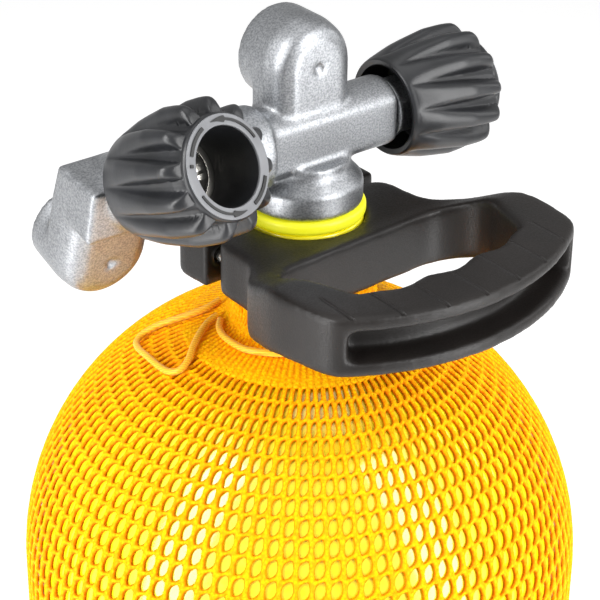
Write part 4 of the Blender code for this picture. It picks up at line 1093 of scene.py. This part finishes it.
def wheel_skirt(given, sides=288):
    """The rubber wheel as a closed loop of rings, +Z outwards from its back rim.

    The outside radius is base(t) + rise(t) * ridge(a, t), and a little less between the ribs. base swells
    from the rim and draws in at the face, rise grows along the axis and rounds off at the tips, and ridge is
    a flat-topped wave of the ribs that turns with t.
    """
    t = np.concatenate([np.linspace(0, 0.06, 6), np.linspace(0.1, 0.8, 22), np.linspace(0.82, 1.0, 34)])
    base = MM * np.interp(
        t, [0, 0.015, 0.05, 0.25, 0.6, 0.84, 0.93, 0.985, 1],
        [17.0, 17.6, 18.0, 18.7, 18.7, 17.8, 17.2, 16.9, 16.5],
    )
    rise = np.interp(t, [0, 0.04, 0.12, 0.35, 0.6, 0.78, 1], [0, 0, 0.16, 0.52, 0.86, 1.0, 1.0])
    tip = np.sqrt(np.clip(1 - (np.clip(t - 0.865, 0, None) / 0.095) ** 2, 0, 1))
    rise = np.convolve(np.pad(rise, 1, mode="edge"), [0.25, 0.5, 0.25], mode="valid") * tip
    angle = np.linspace(0, 2 * math.pi, sides, endpoint=False)
    phase = given.ribs * (angle[None, :] - given.twist * t[:, None])
    off_crest = np.abs((phase / math.pi + 1) % 2 - 1)
    wide = np.interp(t, [0, 0.3, 0.7, 0.9, 1], [0.98, 0.86, 0.68, 0.58, 0.54])[:, None]
    ridge = np.clip(1 - (off_crest / wide) ** 2.6, 0, 1) ** 0.75
    hollow = -0.00045 * np.clip((off_crest - wide) / (1 - wide), 0, 1) * np.clip(rise, 0, 1)[:, None]
    radius = base[:, None] + given.rib_height * rise[:, None] * ridge + hollow
    inner = eased([
        (0.0126, WHEEL_LENGTH), (0.0120, HUB_LEVEL), (0.0026, HUB_LEVEL), (0.0026, 0.0140), (0.0150, 0.0140),
        (0.0152, 0.0),
    ], 0.0006, 3)
    points = np.concatenate([
        about_axis(radius, angle, (t * WHEEL_LENGTH)[:, None]),
        about_axis(inner[:, 0][:, None], angle, inner[:, 1][:, None]),
    ])
    return points.reshape(-1, 3), loop_faces(len(t) + len(inner), sides)


def face_mark(start, end, arrow):
    """A raised bar along an arc of the face, from start to end in degrees, which may end in an arrowhead.

    A bar is half a mark's width to each side all along. An arrow is a thin shaft, a step out and a taper.
    """
    count = 40
    steps = np.linspace(math.radians(start), math.radians(end), count)
    run = np.linspace(0, 1, count)
    half = np.full(count, 0.5 * MARK_WIDTH)
    if arrow:
        half = np.where(run < 0.7, 0.35, np.interp(run, [0.7, 0.701, 1.0], [0.35, 1.0, 0.02])) * MARK_WIDTH
    low, high = MARK_LEVELS
    lines = []
    for side, level in ((-1, low), (1, low), (1, high), (-1, high)):
        lines.append(about_axis(MARK_RADIUS + side * half, steps, level))
    firsts = np.arange(4) * count
    caps = np.stack([firsts, np.roll(firsts[::-1], 1) + count - 1])
    return np.concatenate(lines), np.concatenate([bar_faces(count), caps])


class SCUBA_OT_handwheels(bpy.types.Operator):
    """Adds the two ribbed rubber handwheels, each with a grey face ring and raised turning marks"""

    bl_idname = "scuba.handwheels"
    bl_label = "Handwheels"

    def execute(self, context):
        given = context.scene.scuba_tank.wheel
        rim = soft_ring((0.01275, 0.0163), FACE_RING_LEVELS, 0.00025, 3, 144)
        plate = soft_ring((0.0094, 0.0119), (HUB_LEVEL, HUB_LEVEL + 0.0006), 0.0001, 2, 96)
        pieces = (
            ("handwheel_moulded", wheel_skirt(given), "rubber", None, 60),
            ("face_ring", rim, "rubber", "face", 45),
            ("hub_plate", plate, "bright", None, 40),
            ("face_marks", joined([face_mark(*mark) for mark in MARKS]), "rubber", "seal", 35),
        )
        for which, back in (("main", 0.0348), ("second", 0.0189)):
            body = f"{which}_handwheel_group"
            at = knob_frame(which) @ Matrix.Translation((0, 0, back))
            for name, (points, faces), slot, finish, sharp in pieces:
                made = mesh_piece(f"{which}_{name}", moved(points, at), faces, slot, body, finish, sharp)
                if name == "handwheel_moulded":
                    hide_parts(f"{which}_handwheel")
        return {"FINISHED"}


# ---------------------------------------------------------------- panel and main


OPERATORS = (
    SCUBA_OT_stage, SCUBA_OT_cords, SCUBA_OT_cylinder, SCUBA_OT_net, SCUBA_OT_boot, SCUBA_OT_neck_ring,
    SCUBA_OT_castings, SCUBA_OT_handle, SCUBA_OT_fittings, SCUBA_OT_handwheels,
)


class SCUBA_PT_panel(bpy.types.Panel):
    """Lists the tank's settings and the operators that build it"""

    bl_idname = "SCUBA_PT_panel"
    bl_label = "Scuba tank"
    bl_space_type = "VIEW_3D"
    bl_region_type = "UI"
    bl_category = "Tank"

    def draw(self, context):
        given = context.scene.scuba_tank
        for group in (given.net, given.wheel, given.casting, given.stage):
            box = self.layout.box()
            for name in group.__annotations__:
                box.prop(group, name)
        for operator in OPERATORS:
            self.layout.operator(operator.bl_idname)


CLASSES = (
    NetSettings, WheelSettings, CastingSettings, StageSettings, TankSettings, *OPERATORS, SCUBA_PT_panel,
)


def register():
    for kind in CLASSES:
        bpy.utils.register_class(kind)
    bpy.types.Scene.scuba_tank = PointerProperty(type=TankSettings)


def unregister():
    del bpy.types.Scene.scuba_tank
    for kind in reversed(CLASSES):
        bpy.utils.unregister_class(kind)


def main():
    register()
    for operator in OPERATORS:
        group, name = operator.bl_idname.split(".")
        getattr(getattr(bpy.ops, group), name)()
    bpy.context.view_layer.update()


if __name__ == "__main__":
    main()
